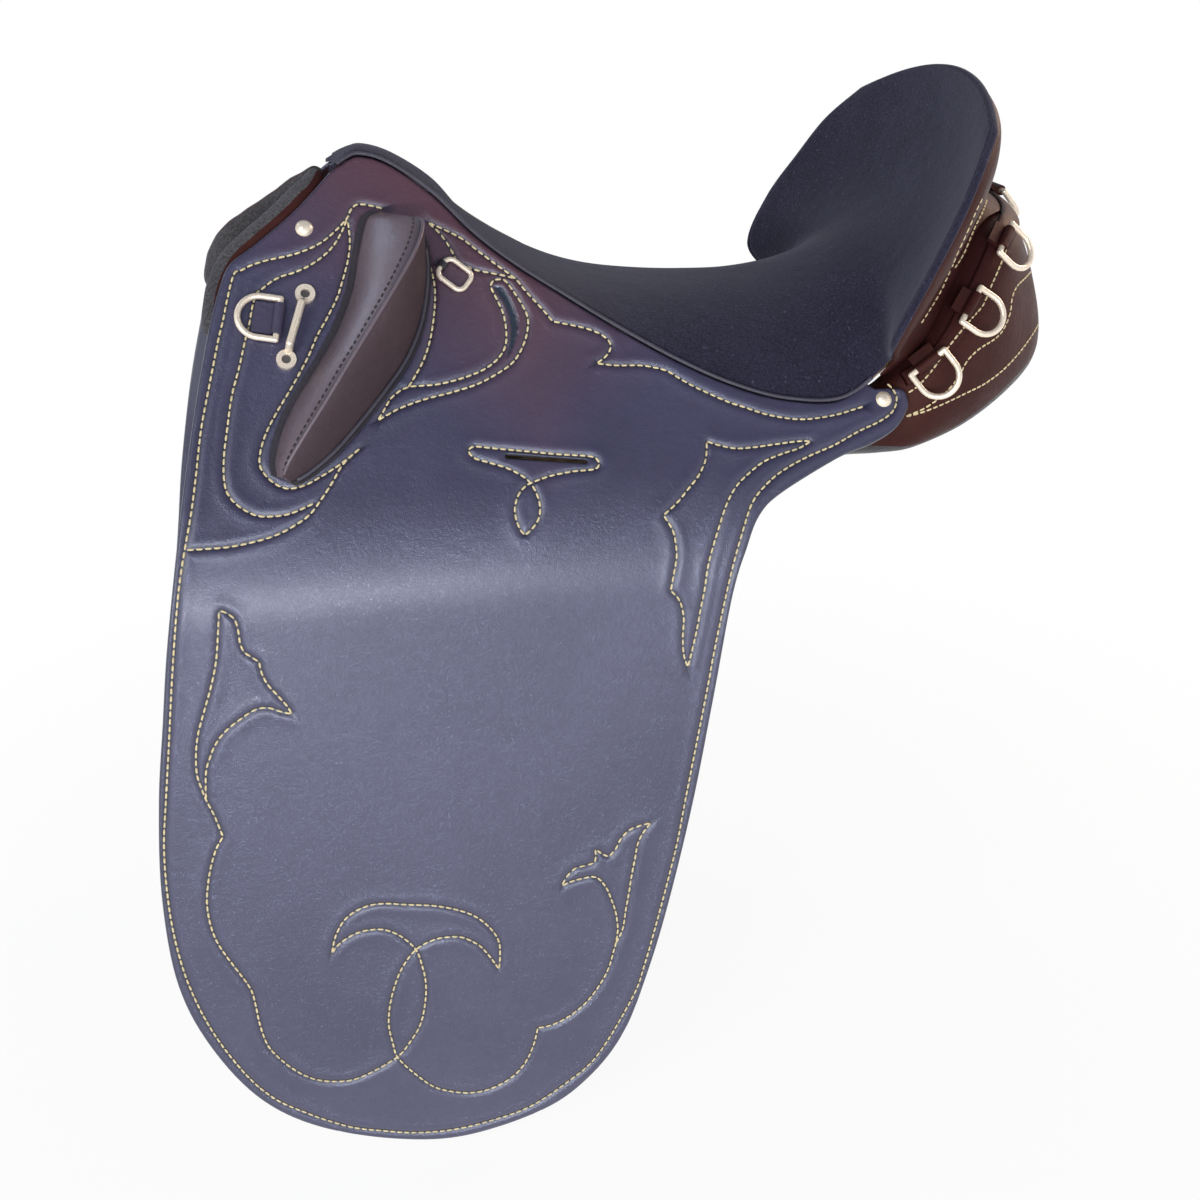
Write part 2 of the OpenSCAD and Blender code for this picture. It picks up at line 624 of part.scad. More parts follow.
module stirrup_catch_shape() {
  on_roof(stirrup_place_shares)
    translate([catch_out, 0, -catch_depth])
      difference() {
        union() {
          rod([0, -catch_half_w, 0], [0, catch_half_w, 0], catch_knuckle_r);
          translate([0, -catch_half_w, -catch_pin_r])
            cube([catch_len, 2 * catch_half_w, 2 * catch_pin_r]);
        }
        rod([0, -plate_half_w, 0], [0, plate_half_w, 0], catch_pin_r + run);
      }
}
module stirrup_bar_left() {
  color(steel)
    stirrup_bar_shape();
}
module stirrup_bar_right() {
  color(steel)
    off_side()
      stirrup_bar_shape();
}
module stirrup_catch_left() {
  color(steel)
    stirrup_catch_shape();
}
module stirrup_catch_right() {
  color(steel)
    off_side()
      stirrup_catch_shape();
}
module stirrup_bar_rivets() {
  color(steel)
    both_sides()
      on_roof(stirrup_place_shares)
        for (s = [-1, 1])
          translate([s * plate_half / 3, 0, -plate_depth - rivet_deep])
            cylinder(r = rivet_r, h = rivet_deep + plate_t);
}

// Seat
module seat_web() {
  g = seat_grid(4.5, 11, 3 * w_step, 13);
  color(felt)
    slab([for (row = g) [for (p = row) seat_at(p[0], p[1], foam_low(p[0], p[1]) + gap)]],
      [for (row = g) [for (p = row) seat_at(p[0], p[1], foam_low(p[0], p[1]) + gap + web_t)]]);
}
module seat_foam() {
  g = seat_grid(4, 17.5, 5 * w_step, 27);
  color(felt)
    slab(at_depth(g, cover_t + gap),
      [for (row = g) [for (p = row) seat_at(p[0], p[1], foam_low(p[0], p[1]))]]);
}
module seat_cover() {
  g = seat_grid(0, seat_last, 6 * w_step, 36);
  color(suede)
    slab(at_depth(g, 0), at_depth(g, cover_t));
}
module welt_shape() {
  tube([for (t = [0.5:0.5:12]) let (c = seat_at(t, -1, cover_t - welt_r) - [0, welt_r + gap, 0])
    [for (a = [0:60:300]) c + welt_r * [0, cos(a), sin(a)]]]);
}
module welt_left() {
  color(tan_leather)
    welt_shape();
}
module welt_right() {
  color(tan_leather)
    off_side()
      welt_shape();
}
module cantle_cover() {
  g = [for (s = [0:0.125:1]) [for (w = [-1:w_step:1 + tiny])
    let (t0 = 16 - 2.6 * w * w) [t0 + (seat_last - t0) * s, w]]];
  color(tan_leather)
    slab([for (row = g) [for (p = row) seat_at(p[0], p[1], board_low(p[0], p[1]) + back_gap)]],
      [for (row = g) [for (p = row) seat_at(p[0], p[1], board_low(p[0], p[1]) + back_gap + back_t)]]);
}

// The facing that closes the hollow between the cantle's back and the panels
function facing_top(w, d = 0) = let (t = facing_from - facing_dip * w * w)
  seat_at(t, w, board_low(t, w) + back_gap + d);
function facing_low(w) = let (p = band_at(band_centre - (band_centre - facing_end) * abs(w),
  facing_turn, facing_lift)) w > 0 ? mirrored(p) : p;
function facing_out(w) = let (a = max(-1, w - 0.5 * w_step), b = min(1, w + 0.5 * w_step),
  n = cross(facing_low(w) - facing_top(w),
    facing_top(b) + facing_low(b) - facing_top(a) - facing_low(a))) n / norm(n);
function facing_grid(d) = [for (s = [0:0.25:1]) [for (w = [-1:w_step:1 + tiny])
  facing_top(w, d) * (1 - s) + (facing_low(w) + d * facing_out(w)) * s]];
module rear_facing() {
  color(tan_leather)
    slab(facing_grid(facing_t), facing_grid(0));
}

// Rear band with its dees in leather chapes
module rear_band() {
  t = [for (i = [0:22]) band_from + (band_centre - band_from) * i / 22];
  function side(d) = [for (s = t) [for (a = [band_low:7:band_high]) band_at(s, a, d)]];
  function whole(d) = concat(side(d), [for (i = [21:-1:0]) [for (p = side(d)[i]) mirrored(p)]]);
  color(tan_leather)
    slab(whole(gap + band_t), whole(gap));
}
module rear_chapes() {
  color(tan_leather) {
    both_sides()
      for (t = dee_stations)
        on_band(t, dee_stand)
          chape(dee_r, chape_w, chape_long, 1);
    on_band(band_centre, dee_stand)
      chape(dee_r, chape_w, chape_long, 1);
  }
}
module rear_dee(t) {
  color(brass)
    on_band(t, dee_stand)
      rotate([dee_droop, 0, 0])
        dee();
}
module rear_dee_left_low() {
  rear_dee(dee_stations[0]);
}
module rear_dee_left_mid() {
  rear_dee(dee_stations[1]);
}
module rear_dee_left_high() {
  rear_dee(dee_stations[2]);
}
module rear_dee_centre() {
  rear_dee(band_centre);
}
module rear_dee_right_low() {
  off_side()
    rear_dee(dee_stations[0]);
}
module rear_dee_right_mid() {
  off_side()
    rear_dee(dee_stations[1]);
}
module rear_dee_right_high() {
  off_side()
    rear_dee(dee_stations[2]);
}

// Skirts and flaps
module skirt_shape() {
  difference() {
    intersection() {
      layer(0, flap_t);
      near_side(flap_line);
      translate([-far, -far, gap / 2 - flap_fold])
        cube([2 * far, 2 * far, far]);
    }
    screw_holes();
    nail_holes();
    slot_hole();
  }
}
module flap_shape() {
  intersection() {
    layer(0, flap_t);
    near_side(flap_line);
    translate([-far, -far, -far - gap / 2 - flap_fold])
      cube([2 * far, 2 * far, far]);
  }
}
module skirt_left() {
  color(leather)
    skirt_shape();
}
module skirt_right() {
  color(leather)
    off_side()
      skirt_shape();
}
module flap_left() {
  color(leather)
    flap_shape();
}
module flap_right() {
  color(leather)
    off_side()
      flap_shape();
}

// Panels and front roll
module panel_shape() {
  tube([for (t = concat([0, 0.15, 0.3, 0.5], [for (s = [1:0.5:11.5]) s],
    [for (i = [1:6]) panel_end - 0.6 + 0.1 * i])) panel_ring(t, panel_swell(t))]);
}
module panel_left() {
  color(felt)
    panel_shape();
}
module panel_right() {
  color(felt)
    off_side()
      panel_shape();
}
function roll_at(t) = let (p = along(roll_shares, t) * tree_len)
  [p[0], -half_w(p[1], d_roll), p[1]];
function roll_ring(t, k) = let (n = [0, -cos(roof_angle), sin(roof_angle)],
  b = unit(cross(roll_at(t + tiny) - roll_at(t - tiny), n)))
  [for (a = [330:-30:0]) roll_at(t) + k * (roll_wide * cos(a) * b + roll_thick * sin(a) * n)];
function roll_swell(t) = (1 - 0.08 * max(0, t - 3)) * (t > 6 ? sqrt(max(0.06, 1 - pow(t - 6, 4))) : 1);
module front_roll_shape() {
  intersection() {
    tube([for (t = concat([tiny], [for (s = [0.5:0.5:6.5]) s], [6.75, 6.9, 7 - tiny]))
      roll_ring(t, roll_swell(t))]);
    translate([-far, -far - gap / 2, -far])
      cube([2 * far, far, 2 * far]);
  }
}
module front_roll_left() {
  color(felt)
    front_roll_shape();
}
module front_roll_right() {
  color(felt)
    off_side()
      front_roll_shape();
}

// Knee pads: a sewn base and a padded ridge
module on_pad() {
  on_roof(pad_place_shares)
    rotate([0, 0, -pad_turn])
      children();
}
function pad_row(t) = along(pad_shares, t) * pad_len;
function pad_ring(t) = let (r = pad_row(t), h = r[4] / pad_len * pad_h, y = -r[0],
  f = [0, 0.3, 0.65, 0.9], g = [0.1, 0.3, 0.5, 0.7, 0.88, 1])
  flip(concat([for (u = f) [r[1] + (r[3] - r[1]) * u - 0.25 * h * u * (1 - u), y, h * sin(90 * u)]],
    [for (u = g) [r[3] + (r[2] - r[3]) * u, y, h * (1 - pow(u, 1.6))
      + 0.35 * h * u * (1 - u)]]));
module knee_base_shape() {
  left = [for (t = [0:0.5:9]) [pad_row(t)[1] - pad_flange, -pad_row(t)[0]]];
  right = [for (t = [9:-0.5:0]) [pad_row(t)[2] + pad_flange, -pad_row(t)[0]]];
  on_pad()
    translate([0, 0, gap])
      linear_extrude(pad_base_t)
        polygon(concat(left, right));
}
module knee_pad_shape() {
  on_pad()
    translate([0, 0, pad_lift])
      tube([for (t = [0:0.5:9]) pad_ring(t)]);
}
module knee_base_left() {
  color(leather)
    knee_base_shape();
}
module knee_base_right() {
  color(leather)
    off_side()
      knee_base_shape();
}
module knee_pad_left() {
  color(tan_leather)
    knee_pad_shape();
}
module knee_pad_right() {
  color(tan_leather)
    off_side()
      knee_pad_shape();
}

// Front dees, oval rings, footman's loops and nails
module on_front_dee() {
  on_roof(front_dee_shares)
    translate([0, 0, dee_stand])
      rotate([0, 0, -90 - front_dee_turn])
        children();
}
module front_chapes() {
  color(leather)
    both_sides()
      on_front_dee()
        chape(dee_r, chape_front_w, chape_front_long, -1);
}
module front_dee_left() {
  color(brass)
    on_front_dee()
      dee();
}
module front_dee_right() {
  color(brass)
    off_side()
      on_front_dee()
        dee();
}
module on_oval() {
  on_roof(oval_place_shares)
    translate([0, 0, oval_stand])
      rotate([0, 0, oval_turn])
        children();
}
module oval_keepers() {
  color(leather)
    both_sides()
      on_oval()
        chape(oval_r, oval_keep_w / 2, oval_keep_long, 1);
}
module oval_ring_left() {
  color(brass)
    on_oval()
      rotate([oval_droop, 0, 0])
        oval();
}
module oval_ring_right() {
  color(brass)
    off_side()
      on_oval()
        rotate([oval_droop, 0, 0])
          oval();
}
module footman_loop_shape() {
  y = loop_len / 2;
  foot = [0, y - 0.95 * eye_r, gap + 1.2 * loop_r];
  knee = [0, y - 1.4 * eye_r, loop_rise];
  on_roof(loop_place_shares)
    rotate([0, 0, -loop_turn])
      difference() {
        union() {
          rod(knee, mirrored(knee), loop_r);
          for (s = [1, -1]) {
            ball([0, s * knee[1], knee[2]], loop_r);
            rod([0, s * foot[1], foot[2]], [0, s * knee[1], knee[2]], loop_r);
            ball([0, s * foot[1], foot[2]], loop_r);
            translate([0, s * y, gap])
              cylinder(r = eye_r, h = eye_t);
          }
        }
        for (s = [1, -1])
          translate([0, s * y, -eye_t])
            cylinder(r = screw_head_r + run, h = far);
      }
}
module footman_loop_left() {
  color(brass)
    footman_loop_shape();
}
module footman_loop_right() {
  color(brass)
    off_side()
      footman_loop_shape();
}
module loop_screws() {
  color(brass)
    both_sides()
      on_roof(loop_place_shares)
        rotate([0, 0, -loop_turn])
          for (s = [-1, 1])
            translate([0, s * loop_len / 2, 0]) {
              translate([0, 0, -d_head - screw_deep])
                cylinder(r = screw_r, h = d_head + screw_deep + eye_t / 2);
              translate([0, 0, gap])
                cylinder(r = screw_head_r, h = eye_t / 2);
            }
}
module dome_nails() {
  color(brass)
    both_sides()
      for (p = [front_nail_shares, rear_nail_shares])
        on_roof(p) {
          translate([0, 0, -flap_t])
            cylinder(r = nail_shank_r, h = flap_t + nail_h / 2);
          intersection() {
            translate([0, 0, gap + nail_h - nail_ball])
              sphere(r = nail_ball, $fn = 48);
            translate([0, 0, gap])
              cylinder(r = 2 * nail_r, h = 2 * nail_h);
          }
        }
}

// Girth straps, each turning on one rivet
module girth_strap_shape(k) {
  x = strap_x_shares[k] * tree_len;
  top = strap_top_share * tree_len;
  difference() {
    intersection() {
      layer(strap_depth, strap_depth + strap_t);
      near_side(concat(
        [for (a = [0:15:180]) [x + strap_end_r * cos(a), top + strap_end_r * sin(a)]],
        [for (a = [180:30:360]) [x + strap_end_r * cos(a),
          strap_end_r - strap_drop + strap_end_r * sin(a)]]));
    }
    on_roof([strap_x_shares[k], strap_top_share])
      translate([0, 0, -d_bar])
        cylinder(r = girth_rivet_r + run, h = d_bar);
    for (i = [1:6])
      translate([x, 0, i * hole_pitch - strap_drop])
        rotate([90, 0, 0])
          cylinder(r = hole_r, h = far);
  }
}
module girth_strap_left_front() {
  color(leather)
    girth_strap_shape(0);
}
module girth_strap_left_rear() {
  color(leather)
    girth_strap_shape(1);
}
module girth_strap_right_front() {
  color(leather)
    off_side()
      girth_strap_shape(0);
}
module girth_strap_right_rear() {
  color(leather)
    off_side()
      girth_strap_shape(1);
}
module girth_rivets() {
  color(steel)
    both_sides()
      for (x = strap_x_shares)
        on_roof([x, strap_top_share]) {
          translate([0, 0, -d_bar - rivet_deep])
            cylinder(r = girth_rivet_r, h = rivet_deep + d_bar - strap_depth + gap);
          translate([0, 0, gap - strap_depth])
            cylinder(r = girth_head_r, h = girth_head_t);
        }
}

tree_head();
tree_bar_left();
tree_bar_right();
tree_cantle();
gullet_plate();
stirrup_bar_left();
stirrup_bar_right();
stirrup_catch_left();
stirrup_catch_right();
stirrup_bar_rivets();
seat_web();
seat_foam();
seat_cover();
welt_left();
welt_right();
cantle_cover();
rear_facing();
rear_band();
rear_chapes();
rear_dee_left_low();
rear_dee_left_mid();
rear_dee_left_high();
rear_dee_centre();
rear_dee_right_low();
rear_dee_right_mid();
rear_dee_right_high();
skirt_left();
skirt_right();
flap_left();
flap_right();
panel_left();
panel_right();
front_roll_left();
front_roll_right();
knee_base_left();
knee_base_right();
knee_pad_left();
knee_pad_right();
front_chapes();
front_dee_left();
front_dee_right();
oval_keepers();
oval_ring_left();
oval_ring_right();
footman_loop_left();
footman_loop_right();
loop_screws();
dome_nails();
girth_strap_left_front();
girth_strap_left_rear();
girth_strap_right_front();
girth_strap_right_rear();
girth_rivets();
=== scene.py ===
import math

import bpy
import bmesh
import numpy as np
from mathutils import Matrix, Vector
from mathutils.bvhtree import BVHTree
from mathutils.geometry import delaunay_2d_cdt
from mathutils.kdtree import KDTree


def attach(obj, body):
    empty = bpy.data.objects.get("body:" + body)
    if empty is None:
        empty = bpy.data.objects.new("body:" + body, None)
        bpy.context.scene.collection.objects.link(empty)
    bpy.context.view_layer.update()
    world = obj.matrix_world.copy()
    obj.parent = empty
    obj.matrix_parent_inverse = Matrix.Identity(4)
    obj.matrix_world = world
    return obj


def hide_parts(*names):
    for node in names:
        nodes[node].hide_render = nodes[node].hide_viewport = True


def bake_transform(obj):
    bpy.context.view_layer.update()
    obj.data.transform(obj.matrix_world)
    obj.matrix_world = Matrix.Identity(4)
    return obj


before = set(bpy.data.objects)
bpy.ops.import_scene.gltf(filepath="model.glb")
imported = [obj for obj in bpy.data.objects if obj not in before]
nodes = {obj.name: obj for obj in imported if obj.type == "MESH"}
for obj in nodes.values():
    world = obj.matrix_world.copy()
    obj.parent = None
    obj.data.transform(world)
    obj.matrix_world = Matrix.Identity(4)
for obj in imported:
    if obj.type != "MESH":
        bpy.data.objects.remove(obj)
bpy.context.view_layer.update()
scene = bpy.context.scene
scene.view_settings.view_transform = "Standard"

# drafting tables, the same shares as the part's source (lengths in mm)
TREE = 400.0
ROOF_HALF = 130.0
A_ROOF = math.radians(35.4)
A_HANG = math.radians(5.0)
BEND_DROP, BEND_R = 62.0, 160.0
FLAP_T, GAP, COVER_T, FOAM_T, BOARD_T, BACK_T = 4.0, 0.3, 2.5, 11.0, 5.0, 3.0
SEAT = np.array([
    [-.465, .3925, -.475, .3875, 0, 2.4, 0, .25, 0],
    [-.4425, .41, -.445, .405, 0, 2.4, 0, .5, 0],
    [-.415, .4175, -.42, .41, 0, 2.4, 0, .8, 0],
    [-.365, .401, -.375, .396, 0, 2.4, 0, 1, 0],
    [-.2975, .355, -.31, .352, 0, 2.8, 0, 1, 0],
    [-.2425, .2925, -.245, .2885, 0, 2.8, 0, 1, 0],
    [-.175, .245, -.1825, .241, 0, 2.8, 0, 1, 0],
    [-.095, .204, -.1075, .194, 0, 2.8, 0, 1, 0],
    [-.01, .179, -.025, .144, 0, 2.8, 0, 1, 0],
    [.09, .166, .075, .089, 0, 2.8, 0, 1, 0],
    [.185, .162, .1675, .048, 0, 2.6, 0, 1, 0],
    [.28, .165, .26, .022, 0, 2.4, 5, 1, .4],
    [.375, .185, .36, .018, 0, 2.2, 12, 1, .5],
    [.4625, .22, .43, .075, .048, 2, 22, 1, .75],
    [.5325, .2625, .4075, .1375, .1675, 2, 33, 1, 1],
    [.585, .32, .4475, .23, .243, 2, 43, 1, 1],
    [.62, .3875, .5, .315, .281, 2, 52, 1, 1],
    [.64, .453, .545, .388, .302, 2, 58, 1, 1],
    [.6475, .518, .5925, .449, .2905, 2, 62, 1, 1]])
FLAP_EDGE = np.array([
    [-.475, .3875], [-.5375, .335], [-.605, .29], [-.65, .2625], [-.67, .23], [-.6925, .1725],
    [-.7225, .0725], [-.76, -.075], [-.8, -.2675], [-.8225, -.4025], [-.845, -.545],
    [-.86, -.72], [-.8525, -.89], [-.811, -1.025], [-.7375, -1.1475], [-.6375, -1.2275],
    [-.4975, -1.2815], [-.37, -1.297], [-.2225, -1.265], [-.1325, -1.205], [-.068, -1.12],
    [-.022, -1.0], [.019, -.8575], [.064, -.6625], [.1015, -.46], [.1345, -.2725],
    [.16, -.195], [.185, -.145], [.2275, -.1125], [.335, -.0675], [.4025, -.05], [.45, -.03],
    [.4775, -.0025], [.48, .015], [.47, .0275], [.4225, .03]])
PANEL = np.array([
    [-.675, 0, .12, .13, .177, .05, .0125], [-.65, 0, .105, .125, .203, -.0125, .0275],
    [-.585, 0, .104, .11, .258, -.1125, .0375], [-.4, 0, .106, .1025, .293, -.17, .04],
    [-.15, 0, .106, .1025, .293, -.1725, .04], [.1, 0, .112, .09, .29, -.165, .04],
    [.25, 0, .132, .065, .268, -.13, .0405], [.375, 0, .21, .03, .28, -.1, .0425],
    [.375, 14, .245, .015, .285, -.1, .044], [.375, 26, .305, .085, .295, -.095, .05],
    [.375, 40, .315, .18, .33, -.075, .056], [.375, 56, .325, .27, .38, -.03, .06],
    [.375, 72, .335, .29, .425, .005, .06], [.375, 90, .335, .3, .42, .02, .0575],
    [.375, 108, .335, .29, .425, .005, .06]])
PANEL_END, PANEL_ROUND = 12.45, 2.6
BAND = (42.0, 56.0, 70.0)
BAND_FROM, BAND_CENTRE, BAND_T = 8.5, 13.0, 3.0
ROLL = np.array([
    [-.4925, .395], [-.514, .3575], [-.5525, .3245], [-.604, .289], [-.645, .26],
    [-.6725, .22], [-.6875, .17], [-.694, .135]])
ROLL_WIDE, ROLL_THICK = 9.5, 8.0
PAD = np.array([
    [-.095, -.1, .05, .02, .3], [-.05, -.135, .095, .08, .78], [.07, -.115, .155, .104, 1],
    [.235, -.075, .2, .092, 1], [.395, -.063, .207, .072, .96], [.55, -.075, .18, .05, .88],
    [.71, -.095, .14, .026, .72], [.84, -.095, .1, .003, .56], [.945, -.075, .05, -.016, .36],
    [1, -.045, .01, -.02, .16]])
PAD_PLACE, PAD_TURN, PAD_LEN, PAD_H = (-.38, .276), math.radians(28), 178.0, 40.0
SLOT = (-.169, -.041)


def unit(v):
    return v / np.linalg.norm(v, axis=-1, keepdims=True)


def share(x):
    return np.clip(x, 0, 1)


def length_along(points):
    steps = np.linalg.norm(np.diff(points, axis=0), axis=1)
    return np.concatenate([[0], np.cumsum(steps)])


def along(rows, t):
    """Curve through a table's rows at the places t."""
    t = np.asarray(t, float)
    n = len(rows) - 1
    i = np.clip(np.floor(t).astype(int), 0, n - 1)
    u = (t - i)[..., None]
    a, b, c, d = rows[np.maximum(i - 1, 0)], rows[i], rows[i + 1], rows[np.minimum(i + 2, n)]
    return 0.5 * (2 * b + (c - a) * u + (2 * a - 5 * b + 4 * c - d) * u**2
                  + (3 * b - a - 3 * c + d) * u**3)


# the leather's section: sloping, bent, hanging
BEND_IN = BEND_R * math.tan((A_ROOF - A_HANG) / 2)
BEND_HALF = ROOF_HALF + BEND_DROP * math.tan(A_ROOF)
BEND_Y = BEND_HALF - BEND_IN * math.sin(A_ROOF) - BEND_R * math.cos(A_ROOF)
BEND_Z = BEND_IN * math.cos(A_ROOF) - BEND_DROP - BEND_R * math.sin(A_ROOF)


def half_w(z, d=0.0):
    z = np.asarray(z, float)
    r = BEND_R - d
    up = ROOF_HALF - z * math.tan(A_ROOF) - d / math.cos(A_ROOF)
    low = BEND_HALF - (z + BEND_DROP) * math.tan(A_HANG) - d / math.cos(A_HANG)
    mid = BEND_Y + np.sqrt(np.maximum(r * r - (z - BEND_Z) ** 2, 0))
    return np.where(z >= BEND_Z + r * math.sin(A_ROOF), up,
                    np.where(z <= BEND_Z + r * math.sin(A_HANG), low, mid))


def lean(z):
    """Angle of the leather's face from the vertical at height z."""
    z = np.asarray(z, float)
    a = np.arcsin(np.clip((z - BEND_Z) / BEND_R, -1, 1))
    return np.clip(a, A_HANG, A_ROOF)


table_z = np.linspace(185, -545, 3001)
table_s = length_along(np.stack([table_z, half_w(table_z)], 1))


def s_of_z(z):
    return np.interp(-np.asarray(z, float), -table_z, table_s)


def z_of_s(s):
    return np.interp(s, table_s, table_z)


def on_side(xs, h=0.0):
    """Points (x, s) on the near leather's outer face, lifted by h, in mm."""
    xs = np.asarray(xs, float)
    z = z_of_s(xs[:, 1])
    a = lean(z)
    n = np.stack([0 * a, -np.cos(a), np.sin(a)], 1)
    p = np.stack([xs[:, 0], -half_w(z), z], 1)
    return p + np.reshape(h, (-1, 1)) * n, n


# camera of the photograph
CAM = np.array([-239.3, -1079.5, 326.6])
AIM = np.array([0.0, 0.0, -189.0])
LENS, SENSOR, FRAME_PX = 45.75, 36.0, 1200.0
cam_ahead = unit(AIM - CAM)
cam_right = unit(np.cross(cam_ahead, [0, 0, 1.0]))
cam_up = np.cross(cam_right, cam_ahead)


def rays(px):
    px = np.asarray(px, float)
    k = SENSOR / LENS / FRAME_PX
    right, up = (px[:, 0] - FRAME_PX / 2) * k, (FRAME_PX / 2 - px[:, 1]) * k
    return unit(cam_ahead + np.outer(right, cam_right) + np.outer(up, cam_up))


def pixels_on_side(px):
    """Photo pixels cast onto the near leather: (x, s)."""
    t = np.linspace(500, 1500, 801)
    out = []
    for v in rays(px):
        p = CAM + t[:, None] * v
        i = int(np.argmax(p[:, 1] + half_w(p[:, 2]) > 0))
        a, b = t[i - 1], t[i]
        for _ in range(30):
            m = (a + b) / 2
            q = CAM + m * v
            if q[1] + half_w(q[2]) > 0:
                b = m
            else:
                a = m
        q = CAM + a * v
        out.append([q[0], float(s_of_z(q[2]))])
    return np.array(out)


def smooth(points, step, closed=False):
    """A smooth curve through points, resampled at step."""
    p = np.asarray(points, float)
    if closed:
        p = np.vstack([p[-1], p, p[0], p[1]])
    n = len(p) - 1
    t = np.linspace(1 if closed else 0, n - 1 if closed else n, 24 * n)
    c = along(p, t)
    d = length_along(c)
    k = max(2, int(round(d[-1] / step)))
    q = np.linspace(0, d[-1], k + 1)
    return np.stack([np.interp(q, d, c[:, j]) for j in range(c.shape[1])], 1)


# making objects
def new_object(name, verts_mm, faces, material):
    me = bpy.data.meshes.new(name)
    me.from_pydata((np.asarray(verts_mm) / 1000).tolist(), [], [list(map(int, f)) for f in faces])
    me.validate()
    me.update()
    ob = bpy.data.objects.new(name, me)
    scene.collection.objects.link(ob)
    for m in (material if isinstance(material, (list, tuple)) else [material]):
        me.materials.append(m)
    me.polygons.foreach_set("use_smooth", [True] * len(me.polygons))
    return ob


def grid_faces(nu, nv, closed_v=False):
    out = []
    for i in range(nu - 1):
        for j in range(nv if closed_v else nv - 1):
            a = i * nv + j
            b = i * nv + (j + 1) % nv
            out.append((a, a + nv, b + nv, b))
    return out


def closed_slab(top, low):
    """Vertices and faces of a solid between two grids of points."""
    nu, nv = top.shape[:2]
    v = np.vstack([top.reshape(-1, 3), low.reshape(-1, 3)])
    b = nu * nv
    f = [t[::-1] for t in grid_faces(nu, nv)] + [tuple(b + k for k in t) for t in grid_faces(nu, nv)]
    for i in range(nu - 1):
        p, q = i * nv, i * nv + nv - 1
        f += [(p, p + nv, b + p + nv, b + p), (q + nv, q, b + q, b + q + nv)]
    for j in range(nv - 1):
        p, q = j, (nu - 1) * nv + j
        f += [(p + 1, p, b + p, b + p + 1), (q, q + 1, b + q + 1, b + q)]
    return v, f


def tube_mesh(rings):
    """Vertices and faces of a closed solid through rings (n, m, 3)."""
    nu, nv = rings.shape[:2]
    v = np.vstack([rings.reshape(-1, 3), rings[0].mean(0), rings[-1].mean(0)])
    f = grid_faces(nu, nv, True)
    b = nu * nv
    f += [(b, j, (j + 1) % nv) for j in range(nv)]
    f += [(b + 1, (nu - 1) * nv + (j + 1) % nv, (nu - 1) * nv + j) for j in range(nv)]
    return v, f


def fix_normals(ob):
    bm = bmesh.new()
    bm.from_mesh(ob.data)
    bmesh.ops.recalc_face_normals(bm, faces=bm.faces)
    bm.to_mesh(ob.data)
    bm.free()
    return ob


def mirrored(ob, name):
    """The off-side twin of a near-side mesh object."""
    me = ob.data.copy()
    me.name = name
    me.transform(Matrix.Scale(-1, 4, (0, 1, 0)))
    me.flip_normals()
    twin = bpy.data.objects.new(name, me)
    scene.collection.objects.link(twin)
    return twin


def set_value(ob, name, values):
    at = ob.data.attributes.get(name) or ob.data.attributes.new(name, "FLOAT", "POINT")
    at.data.foreach_set("value", np.asarray(values, np.float32))


def rod_path(path, r, sides, up=None):
    """Rings of a round tube along a path (mm)."""
    path = np.asarray(path, float)
    t = unit(np.gradient(path, axis=0))
    n = np.asarray(up, float) if up is not None else np.tile([0.0, 0, 1], (len(path), 1))
    n = unit(n - (n * t).sum(1)[:, None] * t)
    b = np.cross(t, n)
    a = np.linspace(0, 2 * np.pi, sides, endpoint=False)
    r = np.broadcast_to(np.asarray(r, float), (len(path),))
    ring = np.cos(a)[None, :, None] * n[:, None] + np.sin(a)[None, :, None] * b[:, None]
    return path[:, None] + r[:, None, None] * ring


